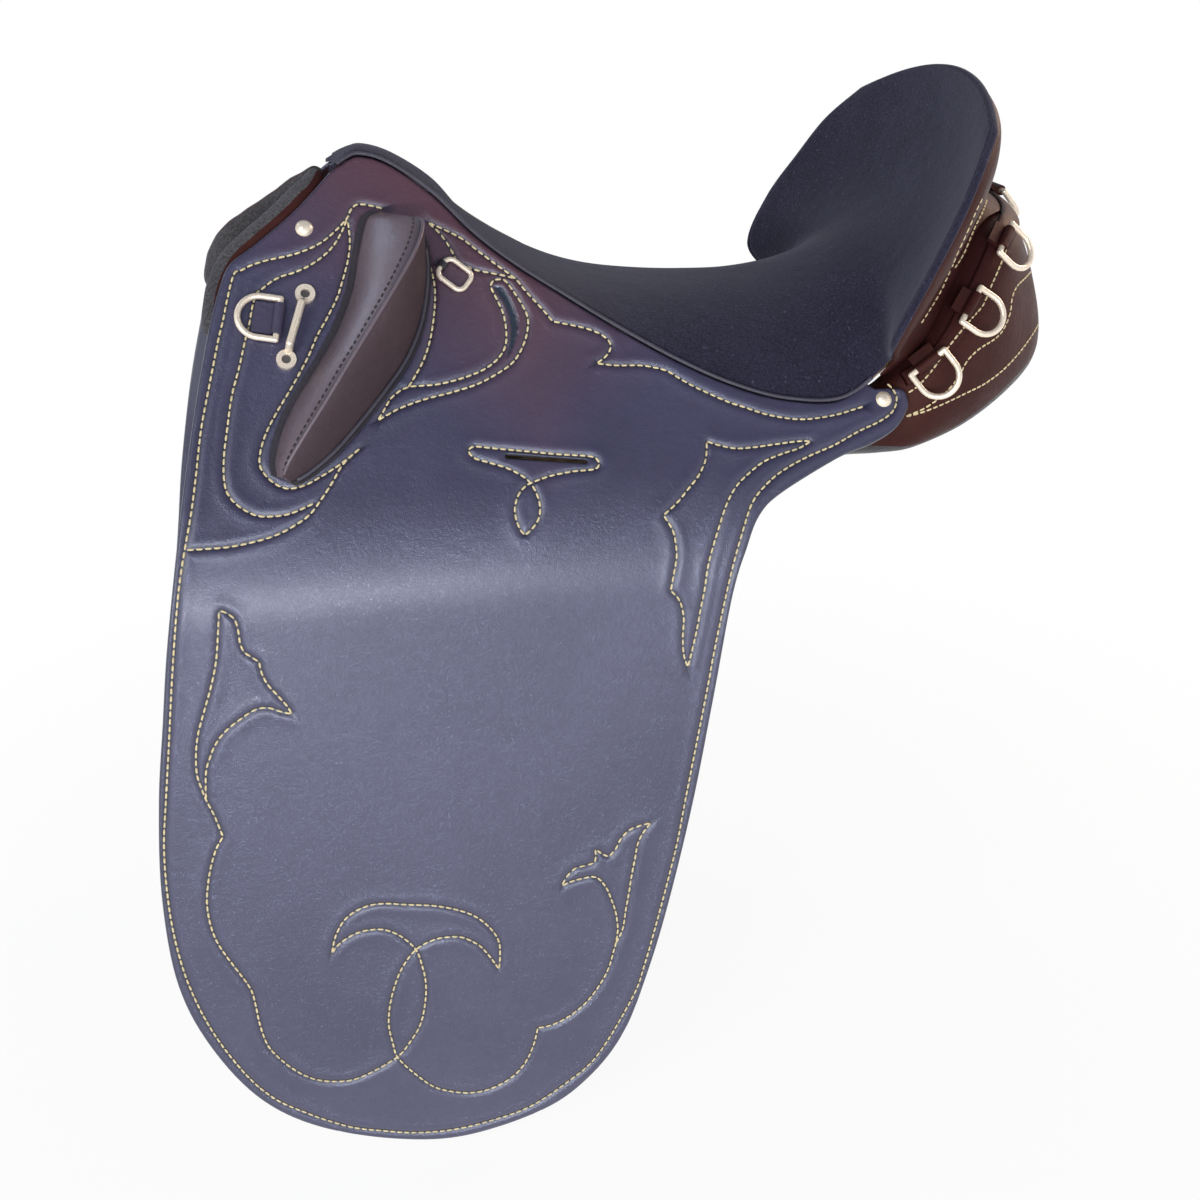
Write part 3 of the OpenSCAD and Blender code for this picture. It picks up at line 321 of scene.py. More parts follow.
# materials
class Mat:
    """A procedural material being wired."""

    def __init__(self, name):
        self.m = bpy.data.materials.new(name)
        self.m.use_nodes = True
        self.t = self.m.node_tree
        self.p = self.t.nodes["Principled BSDF"]
        self.co = self.t.nodes.new("ShaderNodeTexCoord").outputs["Object"]

    def node(self, kind, **kw):
        n = self.t.nodes.new(kind)
        for k, v in kw.items():
            if k.startswith("in_"):
                n.inputs[k[3:].replace("_", " ")].default_value = v
            else:
                setattr(n, k, v)
        return n

    def link(self, a, b):
        self.t.links.new(a, b)
        return self

    def feed(self, socket, v):
        """Give a socket a number, a colour or the output of another node."""
        if isinstance(v, (int, float)):
            socket.default_value = v
        elif isinstance(v, tuple):
            socket.default_value = (*v, 1)
        else:
            self.link(v, socket)

    def noise(self, scale, detail=3.0, rough=0.55, stretch=None):
        n = self.node("ShaderNodeTexNoise", in_Scale=scale, in_Detail=detail, in_Roughness=rough)
        if stretch:
            mp = self.node("ShaderNodeMapping")
            mp.inputs["Scale"].default_value = stretch
            self.link(self.co, mp.inputs["Vector"]).link(mp.outputs[0], n.inputs["Vector"])
        else:
            self.link(self.co, n.inputs["Vector"])
        return n.outputs["Fac"]

    def cells(self, scale):
        n = self.node("ShaderNodeTexVoronoi", feature="DISTANCE_TO_EDGE", in_Scale=scale)
        self.link(self.co, n.inputs["Vector"])
        return n.outputs["Distance"]

    def mix(self, fac, a, b):
        n = self.node("ShaderNodeMix", data_type="RGBA", blend_type="MIX")
        for s, v in ((0, fac), (6, a), (7, b)):
            self.feed(n.inputs[s], v)
        return n.outputs[2]

    def math(self, op, a, b=0.0):
        n = self.node("ShaderNodeMath", operation=op)
        for s, v in zip(n.inputs, (a, b)):
            self.feed(s, v)
        return n.outputs[0]

    def spread(self, fac, lo, hi):
        n = self.node("ShaderNodeMapRange", in_From_Min=0.3, in_From_Max=0.7, in_To_Min=lo, in_To_Max=hi)
        self.link(fac, n.inputs["Value"])
        return n.outputs["Result"]

    def attribute(self, name):
        return self.node("ShaderNodeAttribute", attribute_name=name).outputs["Fac"]

    def bump(self, height, strength, distance, below=None):
        n = self.node("ShaderNodeBump", in_Strength=strength, in_Distance=distance)
        self.link(height, n.inputs["Height"])
        if below is not None:
            self.link(below, n.inputs["Normal"])
        return n.outputs["Normal"]

    def done(self, color, rough, normal=None, **fixed):
        p = self.p
        self.feed(p.inputs["Base Color"], color)
        self.feed(p.inputs["Roughness"], rough)
        if normal is not None:
            self.link(normal, p.inputs["Normal"])
        for k, v in fixed.items():
            p.inputs[k.replace("_", " ")].default_value = v
        return self.m


def times(k, color):
    return tuple(k * c for c in color)


WARM_X, WARM_FALL, WARM_FROM, WARM_TO, WARM_MOST = -0.07, 0.8, -0.015, 0.12, 0.85
# near-black painted shade for the hollow of the pocket
POCKET_SHADE = (0.016, 0.024, 0.034)


def leather(name, dark, pale, rough=(0.34, 0.5), grain=0.22, pore=1500.0, groove=False, coat=0.35, shade_brown=None,
            shine=(0.8, 0.86, 1.0), spec=0.5):
    m = Mat(name)
    cloud = m.noise(9, 4, 0.6)
    fine = m.noise(160, 3, 0.6)
    col = m.mix(m.spread(cloud, 0, 1), dark, pale)
    col = m.mix(m.spread(fine, 0, 0.22), col, times(0.6, dark))
    if shade_brown:
        # painted shade and reflection: higher up and behind the knee pad the leather is mixed to its own
        # brown, as it shows in shade, while elsewhere the blue-violet base stands in partly for a reflected
        # blue sky
        place = m.node("ShaderNodeSeparateXYZ")
        m.link(m.co, place.inputs[0])
        h = m.math("ADD", place.outputs["Z"], m.math("MULTIPLY", cloud, 0.05))
        aside = m.math("ABSOLUTE", m.math("SUBTRACT", place.outputs["X"], WARM_X))
        h = m.math("SUBTRACT", h, m.math("MULTIPLY", aside, WARM_FALL))
        f = m.node("ShaderNodeMapRange", in_From_Min=WARM_FROM, in_From_Max=WARM_TO, in_To_Min=0.0,
                   in_To_Max=WARM_MOST)
        m.link(h, f.inputs["Value"])
        col = m.mix(f.outputs["Result"], col, shade_brown)
    r = m.spread(m.noise(40, 3), *rough)
    if groove:
        # painted shade: darker in the stitch grooves of the side leather; on the knee pad the same mark
        # darkens the ridge seam
        col = m.mix(m.attribute("groove"), col, times(0.2, dark))
        # darker near the sheet's edges and round the slot
        col = m.mix(m.attribute("edge"), col, times(0.4, dark))
        # painted shade: near-black in the sunk hollow of the pocket
        col = m.mix(m.attribute("pocket"), col, POCKET_SHADE)
    grains = m.math("MINIMUM", m.cells(pore), 0.28)
    n1 = m.bump(grains, grain, 0.0012)
    n2 = m.bump(m.noise(60, 4, 0.6), 0.12, 0.004, m.bump(m.noise(330, 3, 0.6), 0.3, 0.0012, n1))
    # shine tints the specular reflections and the coat with painted light: a blue sky colour on most
    # leathers, a warm light on the brown leather
    return m.done(col, r, n2, Coat_Weight=coat, Coat_Roughness=0.34, Specular_IOR_Level=spec,
                  Specular_Tint=(*shine, 1), Coat_Tint=(*shine, 1))


def suede(name, dark, pale, nap=0.4, fleck_gain=2.6):
    m = Mat(name)
    cloud = m.noise(14, 4, 0.65)
    nap_n = m.noise(620, 3, 0.75)
    fleck = m.noise(520, 1, 0.4)
    col = m.mix(m.spread(cloud, 0, 1), dark, pale)
    col = m.mix(m.spread(nap_n, 0, 0.9), col, times(0.15, dark))
    fleck_on = m.math("MULTIPLY", m.math("GREATER_THAN", fleck, 0.73), 0.6)
    col = m.mix(fleck_on, col, times(fleck_gain, pale))
    n = m.bump(nap_n, nap, 0.0014, m.bump(m.noise(70, 3), 0.25, 0.003))
    return m.done(col, 0.95, n, Sheen_Weight=0.25, Sheen_Roughness=0.5, Sheen_Tint=(0.6, 0.6, 0.7, 1),
                  Specular_IOR_Level=0.15)


def metal(name, color, rough=(0.16, 0.34), scratch=0.05, bare=1.0):
    m = Mat(name)
    cloud = m.noise(55, 4, 0.6)
    col = m.mix(m.spread(cloud, 0, 0.4), color, times(0.8, color))
    r = m.spread(m.noise(220, 3), *rough)
    n = m.bump(m.noise(700, 2, 0.6, (1, 1, 0.15)), scratch, 0.0006)
    return m.done(col, r, n, Metallic=bare)


def thread(name, color):
    m = Mat(name)
    w = m.node("ShaderNodeTexWave", in_Scale=900.0, in_Distortion=2.0, bands_direction="DIAGONAL")
    m.link(m.co, w.inputs["Vector"])
    col = m.mix(m.spread(m.noise(60, 2), 0, 0.6), color, times(0.66, color))
    return m.done(col, 0.6, m.bump(w.outputs["Fac"], 0.5, 0.0004), Sheen_Weight=0.15)


def wood_mat(name):
    m = Mat(name)
    w = m.node("ShaderNodeTexWave", in_Scale=22.0, in_Distortion=5.0, in_Detail=3.0)
    m.link(m.co, w.inputs["Vector"])
    col = m.mix(w.outputs["Fac"], (0.36, 0.22, 0.11), (0.5, 0.34, 0.19))
    return m.done(col, m.spread(m.noise(30, 3), 0.5, 0.7), m.bump(w.outputs["Fac"], 0.12, 0.001))


def felt_mat(name, dark, pale):
    m = Mat(name)
    a = m.noise(700, 3, 0.7)
    b = m.noise(25, 4, 0.6)
    col = m.mix(m.spread(b, 0, 1), dark, pale)
    col = m.mix(m.spread(a, 0, 0.5), col, times(1.5, pale))
    return m.done(col, 0.95, m.bump(a, 0.5, 0.0016), Sheen_Weight=0.3, Sheen_Roughness=0.6,
                  Specular_IOR_Level=0.2)


# PLUM: dark leather tinted blue-violet, partly a painted reflection of a blue sky
PLUM, PLUM_PALE = (0.049, 0.04, 0.073), (0.07, 0.058, 0.1)
BROWN, BROWN_PALE = (0.034, 0.009, 0.008), (0.054, 0.016, 0.014)
M_SIDE = leather("side_leather", PLUM, PLUM_PALE, (0.2, 0.27), grain=0.3, pore=900, groove=True, coat=0.75,
                 shade_brown=(0.13, 0.045, 0.045), spec=0.7)
# the brown leather's warm shine is painted warm light in its reflections
M_BROWN = leather("brown_leather", BROWN, BROWN_PALE, (0.38, 0.52), coat=0.0, shine=(1, 0.62, 0.52),
                  spec=0.21)
# painted light and shade on the knee pad: a lighter, lit copy of its leather for the front facet and ridge,
# and a darker, shaded copy for the rear facet
M_PAD_LIT = leather("pad_lit_leather", (0.125, 0.088, 0.096), (0.18, 0.128, 0.138), (0.26, 0.38), groove=True,
                coat=0.3)
M_PAD_SHADED = leather("pad_shaded_leather", (0.062, 0.042, 0.047), (0.08, 0.055, 0.061), (0.5, 0.64),
                     coat=0.0, spec=0.15)
M_STRAP = leather("strap_leather", (0.022, 0.016, 0.018), (0.042, 0.03, 0.032), (0.32, 0.48))
M_WELT = leather("welt_leather", (0.045, 0.039, 0.05), (0.075, 0.066, 0.08), (0.34, 0.46), coat=0.1)
M_SUEDE = suede("black_suede", (0.026, 0.024, 0.047), (0.044, 0.041, 0.075))
M_LIP = suede("lip_suede", (0.09, 0.085, 0.088), (0.135, 0.127, 0.13), 0.4, 1.1)
M_FELT = felt_mat("panel_serge", (0.026, 0.022, 0.023), (0.05, 0.044, 0.045))
M_WEB = felt_mat("web_cloth", (0.16, 0.14, 0.11), (0.24, 0.21, 0.17))
M_CHAPE = leather("chape_leather", PLUM, PLUM_PALE, (0.34, 0.46), coat=0.1)
M_BRASS = metal("brass", (1.0, 0.86, 0.68), (0.22, 0.3), 0.015, 0.45)
M_STEEL = metal("steel", (0.46, 0.46, 0.47), (0.28, 0.5))
M_DULL = metal("dull_steel", (0.16, 0.15, 0.15), (0.4, 0.6))
M_WOOD = wood_mat("tree_wood")
M_GOLD = thread("gold_thread", (0.93, 0.77, 0.43))
M_DARK = thread("dark_thread", (0.012, 0.01, 0.011))

# materials of the CAD nodes by how their names start, and side leather for the rest
LOOKS = (
    (("rear_dee", "front_dee", "oval_ring", "footman", "dome_nails"), M_BRASS),
    (("loop_screws",), M_DULL),
    (("tree_",), M_WOOD),
    (("gullet", "stirrup", "girth_rivets"), M_STEEL),
    (("rear_chapes", "rear_band", "cantle_cover", "welt"), M_BROWN),
    (("front_chapes",), M_CHAPE),
    (("oval_keepers", "girth_strap", "knee_base"), M_STRAP))
WELD_M, SHARP_ANGLE = 1e-6, math.radians(38)
for n, o in nodes.items():
    mat = next((m for starts, m in LOOKS if n.startswith(starts)), M_SIDE)
    o.data.materials.clear()
    o.data.materials.append(mat)
    o.data.polygons.foreach_set("use_smooth", [True] * len(o.data.polygons))
    o.modifiers.new("weld", "WELD").merge_threshold = WELD_M
    o.modifiers.new("split", "EDGE_SPLIT").split_angle = SHARP_ANGLE

# stitch lines, by pixels of the photograph's 1200 frame
def pixels(*pairs):
    """Places in the photograph, given as across,down pairs."""
    return np.reshape(pairs, (-1, 2))


EDGE_PX = pixels(219,336, 209,387, 201,430, 196,475, 191,514, 185,548, 180,580, 176,620, 172,680, 169,743,
    166,800, 164,848, 168,900, 176,944, 188,983, 205,1019, 226,1051, 253,1082, 278,1101, 306,1113, 325,1120,
    354,1128, 382,1131, 415,1133, 453,1130, 491,1121, 530,1107, 568,1082, 598,1055, 633,997, 645,964,
    657,922, 669,877, 678,840, 686,798, 706,697, 714,654, 724,606, 733,567, 744,528, 754,500, 772,479,
    790,466, 811,455, 834,445, 859,431, 880,421, 893,411, 897,398, 893,389, 887,383)
LINES_PX = {
    "head": pixels(219,336, 223,320, 227,300, 231,283, 235,272, 241,270, 251,265, 267,260, 290,255, 308,249,
        323,241, 336,230, 347,218, 350,211, 355,205, 364,204, 383,208),
    "fore": pixels(347,219, 341,233, 333,246, 323,256, 310,265, 295,272, 282,276, 272,281, 263,288, 257,293,
        253,304, 249,325, 245,341, 239,368, 232,395, 227,430, 224,456, 224,479, 228,494, 239,506, 256,515,
        272,516, 291,513, 314,503),
    "knee": pixels(348,221, 350,242, 348,260, 343,279, 337,298, 327,318, 317,336, 308,357, 293,385, 278,410,
        266,433, 260,454, 261,468, 272,481, 287,488, 304,485, 323,475, 343,462, 360,448),
    "wave": pixels(360,448, 343,464, 333,481, 322,498, 310,514, 295,525, 276,535, 253,542, 228,547, 203,549,
        186,550),
    "pad_rear": pixels(425,250, 431,268, 435,289, 434,315, 430,340, 423,361, 412,381, 408,387),
    "sickle": pixels(378,420, 384,410, 392,397, 408,387, 438,384, 465,377, 486,368, 500,356, 506,343,
        506,327, 503,312, 496,297, 491,286, 494,280, 501,279, 506,281, 515,293, 522,304, 528,318, 527,333,
        522,348, 513,362, 498,373, 477,384, 452,392, 425,399, 400,408, 378,420),
    "seat": pixels(428,222, 446,230, 463,239, 480,252, 496,264, 515,278, 526,291, 540,306, 553,321),
    "seat_cusp": pixels(553,321, 568,324, 586,328, 601,334, 610,342, 610,350, 605,357, 597,363),
    "seat_rear": pixels(597,363, 616,365, 639,365, 654,367, 668,371, 683,380, 698,388, 727,401, 745,407,
        763,413, 781,417, 799,419, 816,418, 838,414, 864,406),
    "ring": pixels(428,222, 438,231, 446,241, 453,253, 457,262),
    "ring_rear": pixels(457,262, 474,269, 488,272, 503,275, 515,278),
    "slot_top": pixels(475,446, 494,448, 527,451, 559,454, 590,456, 598,460, 599,465, 594,469, 574,471,
        553,475, 538,480, 527,485, 519,494, 515,507, 516,518, 520,529, 525,535),
    "slot_low": pixels(525,535, 532,529, 539,518, 540,505, 536,492, 529,481, 518,473, 505,467, 488,462,
        475,458, 469,452, 470,448, 475,446),
    "scroll_a": pixels(707,441, 720,445, 736,448, 754,447, 775,444, 799,441, 811,441),
    "scroll_b": pixels(811,441, 799,448, 781,454, 763,462, 747,475, 736,487, 727,504, 720,525, 713,548,
        708,568, 705,589, 701,609, 697,630, 692,652, 688,667),
    "scroll_c": pixels(688,667, 684,655, 683,637, 684,620, 682,607, 678,598, 671,591),
    "scroll_d": pixels(671,591, 674,575, 677,557, 676,543, 673,530, 664,515),
    "scroll_e": pixels(664,515, 677,503, 690,487, 699,475, 706,459, 707,441),
    "tulip_a": pixels(219,612, 224,612, 234,619, 238,630, 240,643, 244,652, 251,657, 259,662),
    "tulip_b": pixels(259,662, 262,674, 268,685, 278,696, 287,706, 292,714),
    "tulip_c": pixels(292,714, 282,712, 268,708, 255,710, 241,719, 226,731, 216,744, 210,758, 206,773,
        206,800),
    "tulip_d": pixels(219,612, 218,634, 216,662, 211,687, 204,712, 198,735, 196,756, 197,775, 202,790,
        206,800, 214,815, 223,837),
    "vine_a": pixels(223,837, 216,850, 211,867, 208,885, 207,904, 210,923, 216,940, 226,956, 239,973,
        251,990, 256,1007, 260,1025, 268,1046, 282,1061, 299,1073, 316,1080, 335,1082, 354,1080, 375,1071,
        398,1057, 409,1044, 420,1026, 425,1005, 426,984, 422,965, 416,950, 403,938, 388,931, 373,930,
        356,934, 340,944, 332,954),
    "crescent_a": pixels(332,954, 336,936, 346,919, 363,908, 382,904, 407,905, 434,906, 457,910, 476,917,
        491,929, 499,942, 500,958, 499,969),
    "crescent_b": pixels(499,969, 491,958, 480,946, 464,938, 451,937, 434,940, 416,950, 403,967, 395,986,
        390,1007, 389,1026, 393,1044, 398,1058, 415,1074, 434,1087, 453,1092, 472,1093, 491,1089, 510,1079,
        524,1065, 533,1047, 538,1028),
    "vine_b": pixels(538,1028, 552,1025, 570,1016, 587,1002, 600,985, 609,968, 614,951, 616,944, 618,929,
        616,913, 612,901, 607,889, 600,880, 593,877, 582,879, 571,882, 562,886),
    "bud_a": pixels(562,886, 567,877, 575,869, 585,866, 595,863),
    "bud_b": pixels(595,863, 596,856, 596,850, 602,854, 609,857),
    "bud_c": pixels(609,857, 616,849, 621,839, 630,830, 640,826, 651,823),
    "bud_d": pixels(651,823, 644,832, 638,844, 635,860, 632,875, 629,894, 626,910, 623,929, 616,944),
}
PITCH, DASH = 5.3, 4.2
side_lines = [smooth(pixels_on_side(v), 1.0) for v in [EDGE_PX, *LINES_PX.values()]]


# placing a piece on the saddle in place of the parts it stands for
def dress(ob, slot_name, *replaced, fill=None):
    """Ride a piece on the saddle and hide the parts it stands for; its slot and its fill are not used."""
    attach(ob, "saddle")
    if replaced:
        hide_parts(*replaced)


def dress_pair(ob, slot_name, *replaced, fill=None):
    """The same for a piece of the near side and for its mirrored twin."""
    twin = mirrored(ob, ob.name.replace("left", "right"))
    dress(ob, slot_name, *replaced, fill=fill)
    dress(twin, slot_name, *(n.replace("left", "right") for n in replaced), fill=fill)


# short ways to make a piece
def slab(name, top, low, mat):
    return fix_normals(new_object(name, *closed_slab(top, low), mat))


def tube(name, rings, mat):
    return fix_normals(new_object(name, *tube_mesh(rings), mat))


def grid_of(a, b):
    return np.meshgrid(a, b, indexing="ij")


# the near leather: one sheet from the seat's edge to the flap's end
OUTLINE_STEP, SHEET_STEP, LINE_ROOM, EDGE_ROOM, MIN_GAP = 2.0, 5.0, 8.6, 0.35, 0.75
EDGE_ROWS = (0.5, 1.1, 1.9, 3.2)
SLOT_ROWS = (0.5, 1.1, 2.0)
LINE_ROWS = (0, 0.9, -0.9, 2.0, -2.0, 3.4, -3.4, 5.2, -5.2, 7.2, -7.2)
POCKET_ROWS = (0, 0.7, -0.7, 1.5, -1.5)
SLIT, SLIT_UP, SLIT_HALF, SLIT_TURN = 1.1, -1.7, 26, math.radians(8.3)
EDGE_ROUND, GROOVE_WIDE, GROOVE_DEEP, EDGE_DARK_REACH = 1.5, 1.5, 0.95, 1.6
PUFF_HIGH, PUFF_AT, PUFF_WIDE, POCKET_DEEP, POCKET_WALL = 0.55, 5.0, 2.8, 1.3, 1.2
POCKET_PX = pixels(493.5,286.5, 501,285, 507,291, 513,303, 517.5,315, 519,327, 516.6,340.5, 511.5,352.5,
    505.5,360, 508.5,345, 510,330, 508.5,318, 504,304.5, 498.6,295.5)
pocket_loop = smooth(pixels_on_side(POCKET_PX), 1.0, closed=True)[:-1]


def side_outline():
    edge = along(FLAP_EDGE * TREE, np.linspace(0, len(FLAP_EDGE) - 1, 260))
    rows = along(SEAT, np.linspace(12.5, 0.25, 120))
    loop = np.vstack([edge, np.stack([rows[:, 2], rows[:, 3]], 1) * TREE])
    loop = np.stack([loop[:, 0], s_of_z(loop[:, 1])], 1)
    loop = np.vstack([loop, loop[:1]])
    d = length_along(loop)
    q = np.linspace(0, d[-1], int(d[-1] / OUTLINE_STEP), endpoint=False)
    return np.stack([np.interp(q, d, loop[:, k]) for k in (0, 1)], 1)


def slot_outline():
    centre = np.array([SLOT[0] * TREE, float(s_of_z(SLOT[1] * TREE))])
    ahead = np.array([math.cos(SLIT_TURN), math.sin(SLIT_TURN)])
    a = np.linspace(-np.pi / 2, np.pi / 2, 9)
    cap = np.stack([SLIT_HALF + SLIT * np.cos(a), SLIT * np.sin(a)], 1)
    run = np.linspace(24, -24, 25)
    long_side = np.stack([run, np.full(25, SLIT)], 1)
    q = np.vstack([cap, long_side, -cap, -long_side])
    q[:, 1] += SLIT_UP
    return centre + q[:, :1] * ahead + q[:, 1:] * np.array([-ahead[1], ahead[0]])


def inward(loop):
    t = np.roll(loop, -1, 0) - np.roll(loop, 1, 0)
    n = unit(np.stack([-t[:, 1], t[:, 0]], 1))
    turn = 0.5 * np.sum(loop[:, 0] * np.roll(loop[:, 1], -1) - np.roll(loop[:, 0], -1) * loop[:, 1])
    return n if turn > 0 else -n


def inside(points, loop):
    x, y = points[:, 0], points[:, 1]
    hit = np.zeros(len(points), bool)
    for (x0, y0), (x1, y1) in zip(loop, np.roll(loop, -1, 0)):
        c = (y0 > y) != (y1 > y)
        hit ^= c & (x < (x1 - x0) * (y - y0) / (y1 - y0 + 1e-12) + x0)
    return hit


def tree_of(points):
    k = KDTree(len(points))
    for i, p in enumerate(points):
        k.insert((p[0], p[1], 0), i)
    k.balance()
    return k


def nearest(k, points):
    return np.array([k.find((p[0], p[1], 0))[2] for p in points])


def quarters(loop):
    """The points of a loop with three more on each of its edges."""
    steps = np.tile(np.linspace(0, 0.75, 4)[:, None], (len(loop), 2))
    return loop.repeat(4, 0) + steps * (np.roll(loop, -1, 0) - loop).repeat(4, 0)


outline, slot = side_outline(), slot_outline()
k_edge = tree_of(np.vstack([quarters(outline), slot]))
k_line = tree_of(np.vstack(side_lines))


def beside(loop, rows, n):
    return [loop + e * n for e in rows]


def sheet_points():
    """Points of the sheet: rows beside its edges and stitch lines, and an even field between."""
    pts = beside(outline, EDGE_ROWS, inward(outline)) + beside(slot, SLOT_ROWS, -inward(slot))
    for ln in side_lines:
        c = ln[::2]
        t = np.gradient(c, axis=0)
        t /= np.linalg.norm(t, axis=1)[:, None] + 1e-9
        pts += beside(c, LINE_ROWS, np.stack([-t[:, 1], t[:, 0]], 1))
    least, most = outline.min(0), outline.max(0)
    fx, fs = np.meshgrid(*(np.arange(least[k], most[k], SHEET_STEP) for k in (0, 1)))
    fx[1::2] += SHEET_STEP / 2
    field = np.stack([fx.ravel(), fs.ravel()], 1)
    field = field[inside(field, outline)]
    pts.append(field[nearest(k_line, field) > LINE_ROOM])
    pts += beside(pocket_loop[::2], POCKET_ROWS, inward(pocket_loop[::2]))
    pts = np.vstack(pts)
    pts = pts[inside(pts, outline) & ~inside(pts, slot)]
    pts = pts[nearest(k_edge, pts) > EDGE_ROOM]
    # thin out points that fall on each other
    cell = {}
    for i, p in enumerate(np.round(pts / MIN_GAP).astype(int)):
        cell.setdefault((p[0], p[1]), i)
    return pts[sorted(cell.values())]


def triangles(pts):
    """The sheet's points and triangles, without the slot."""
    no, ns = len(outline), len(slot)
    coords = np.vstack([outline, slot, pts])
    edges = [(i, (i + 1) % no) for i in range(no)] + [(no + i, no + (i + 1) % ns) for i in range(ns)]
    cut = delaunay_2d_cdt([Vector((float(x), float(y))) for x, y in coords], edges, [], 1, 1e-5)
    co = np.array([(v.x, v.y) for v in cut[0]])
    tri = np.array(cut[2])
    mid = co[tri].mean(1)
    tri = tri[inside(mid, outline) & ~inside(mid, slot)]
    used, tri = np.unique(tri, return_inverse=True)
    co, tri = co[used], tri.reshape(-1, 3)
    turn = np.cross(co[tri[:, 1]] - co[tri[:, 0]], co[tri[:, 2]] - co[tri[:, 0]])
    tri[turn < 0] = tri[turn < 0][:, ::-1]
    return co, tri


def wave_of(c, d):
    """The leather's slow waves, which die away towards its edge."""
    return 0.5 * np.sin(c[:, 0] / 41 + 1.3) * np.sin(c[:, 1] / 57) * share((d - 6) / 40)


def side_leather():
    co, tri = triangles(sheet_points())
    d_edge, d_line = nearest(k_edge, co), nearest(k_line, co)
    groove = np.exp(-(d_line / GROOVE_WIDE) ** 2)
    wall = nearest(tree_of(pocket_loop), co)
    pocket = np.where(inside(co, pocket_loop), share(wall / POCKET_WALL), 0)
    arc = np.sqrt(np.maximum(EDGE_ROUND**2 - (EDGE_ROUND - d_edge) ** 2, 0))
    drop = np.where(d_edge < EDGE_ROUND, EDGE_ROUND - arc, 0)
    puff = PUFF_HIGH * np.exp(-((d_line - PUFF_AT) / PUFF_WIDE) ** 2) * share((d_edge - 1) / 4)
    wave = wave_of(co, d_edge)
    top, _ = on_side(co, -drop - GROOVE_DEEP * groove + puff + wave - POCKET_DEEP * pocket)
    low, _ = on_side(co, -FLAP_T + drop + wave)
    nv = len(co)
    ends = np.sort(np.vstack([tri[:, [0, 1]], tri[:, [1, 2]], tri[:, [2, 0]]]), 1)
    pair, count = np.unique(ends, axis=0, return_counts=True)
    rim = {tuple(x) for x in pair[count == 1]}
    faces = [tuple(t[::-1]) for t in tri] + [tuple(t + nv) for t in tri]
    for a, b, c in tri:
        for p, q in ((a, b), (b, c), (c, a)):
            if (min(p, q), max(p, q)) in rim:
                faces.append((p, q, q + nv, p + nv))
    ob = fix_normals(new_object("side_leather_left", np.vstack([top, low]), faces, M_SIDE))
    set_value(ob, "groove", np.concatenate([groove, 0 * groove]))
    set_value(ob, "pocket", np.concatenate([pocket, 0 * pocket]))
    set_value(ob, "edge", np.tile(np.exp(-(d_edge / EDGE_DARK_REACH) ** 2), 2))
    return ob


# stitches
STITCH_WIDE, STITCH_HIGH, STITCH_SINK, STITCH_SIDES = 0.72, 0.5, 0.35, 6
STITCH_FORM = ((-0.5, 0.0), (-0.44, 0.72), (-0.2, 1.0), (0.2, 1.0), (0.44, 0.72), (0.5, 0.0))


def dashes(curve, normals, pitch=PITCH, dash=DASH, wide=STITCH_WIDE, high=STITCH_HIGH):
    """Sewn stitches along a curve that is sampled at 1 mm: vertices and faces."""
    d = length_along(curve)
    n = max(1, int(d[-1] // pitch))
    p = d[-1] / n
    out_v, out_f = [], []
    ring = np.linspace(0, 2 * np.pi, STITCH_SIDES, endpoint=False)

    def at(q, values):
        return np.array([np.interp(q, d, values[:, j]) for j in range(3)])

    for i in range(n):
        base = len(out_v)
        for u, k in STITCH_FORM:
            q = np.clip((i + 0.5) * p + u * dash, 0, d[-1])
            pos, nor = at(q, curve), unit(at(q, normals))
            step = at(min(q + 0.4, d[-1]), curve) - at(max(q - 0.4, 0), curve)
            side = np.cross(step / (np.linalg.norm(step) + 1e-9), nor)
            kk = max(k, 0.12)
            sink = -STITCH_SINK * (1 - k)
            for a in ring:
                out_v.append(pos + nor * (sink + kk * high * math.sin(a)) + side * kk * wide * math.cos(a))
        last = base + (len(STITCH_FORM) - 1) * STITCH_SIDES
        for row in range(base, last, STITCH_SIDES):
            for j in range(STITCH_SIDES):
                a, b = row + j, row + (j + 1) % STITCH_SIDES
                out_f.append((a, b, b + STITCH_SIDES, a + STITCH_SIDES))
        out_f.append(tuple(base + j for j in reversed(range(STITCH_SIDES))))
        out_f.append(tuple(last + j for j in range(STITCH_SIDES)))
    return out_v, out_f


def stitch_object(name, curves, mat, **kw):
    v, f = [], []
    for p, n in curves:
        a, b = dashes(p, n, **kw)
        f += [tuple(k + len(v) for k in t) for t in b]
        v += a
    return new_object(name, np.array(v), f, mat)


SEWN_AT = -0.45
flap = side_leather()
side_curves = [on_side(ln, SEWN_AT + wave_of(ln, nearest(k_edge, ln))) for ln in side_lines]
sew = stitch_object("side_stitching_left", side_curves, M_GOLD)
HINGE_Y, FOLD_FROM, FOLD_TO = -0.17357, -0.080, -0.150
for ob, nm in ((flap, "side_leather_right"), (sew, "side_stitching_right")):
    twin = mirrored(ob, nm)
    for o, part, y in ((ob, "flap_left", HINGE_Y), (twin, "flap_right", -HINGE_Y)):
        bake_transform(o)
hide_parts("skirt_left", "flap_left")
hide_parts("skirt_right", "flap_right")


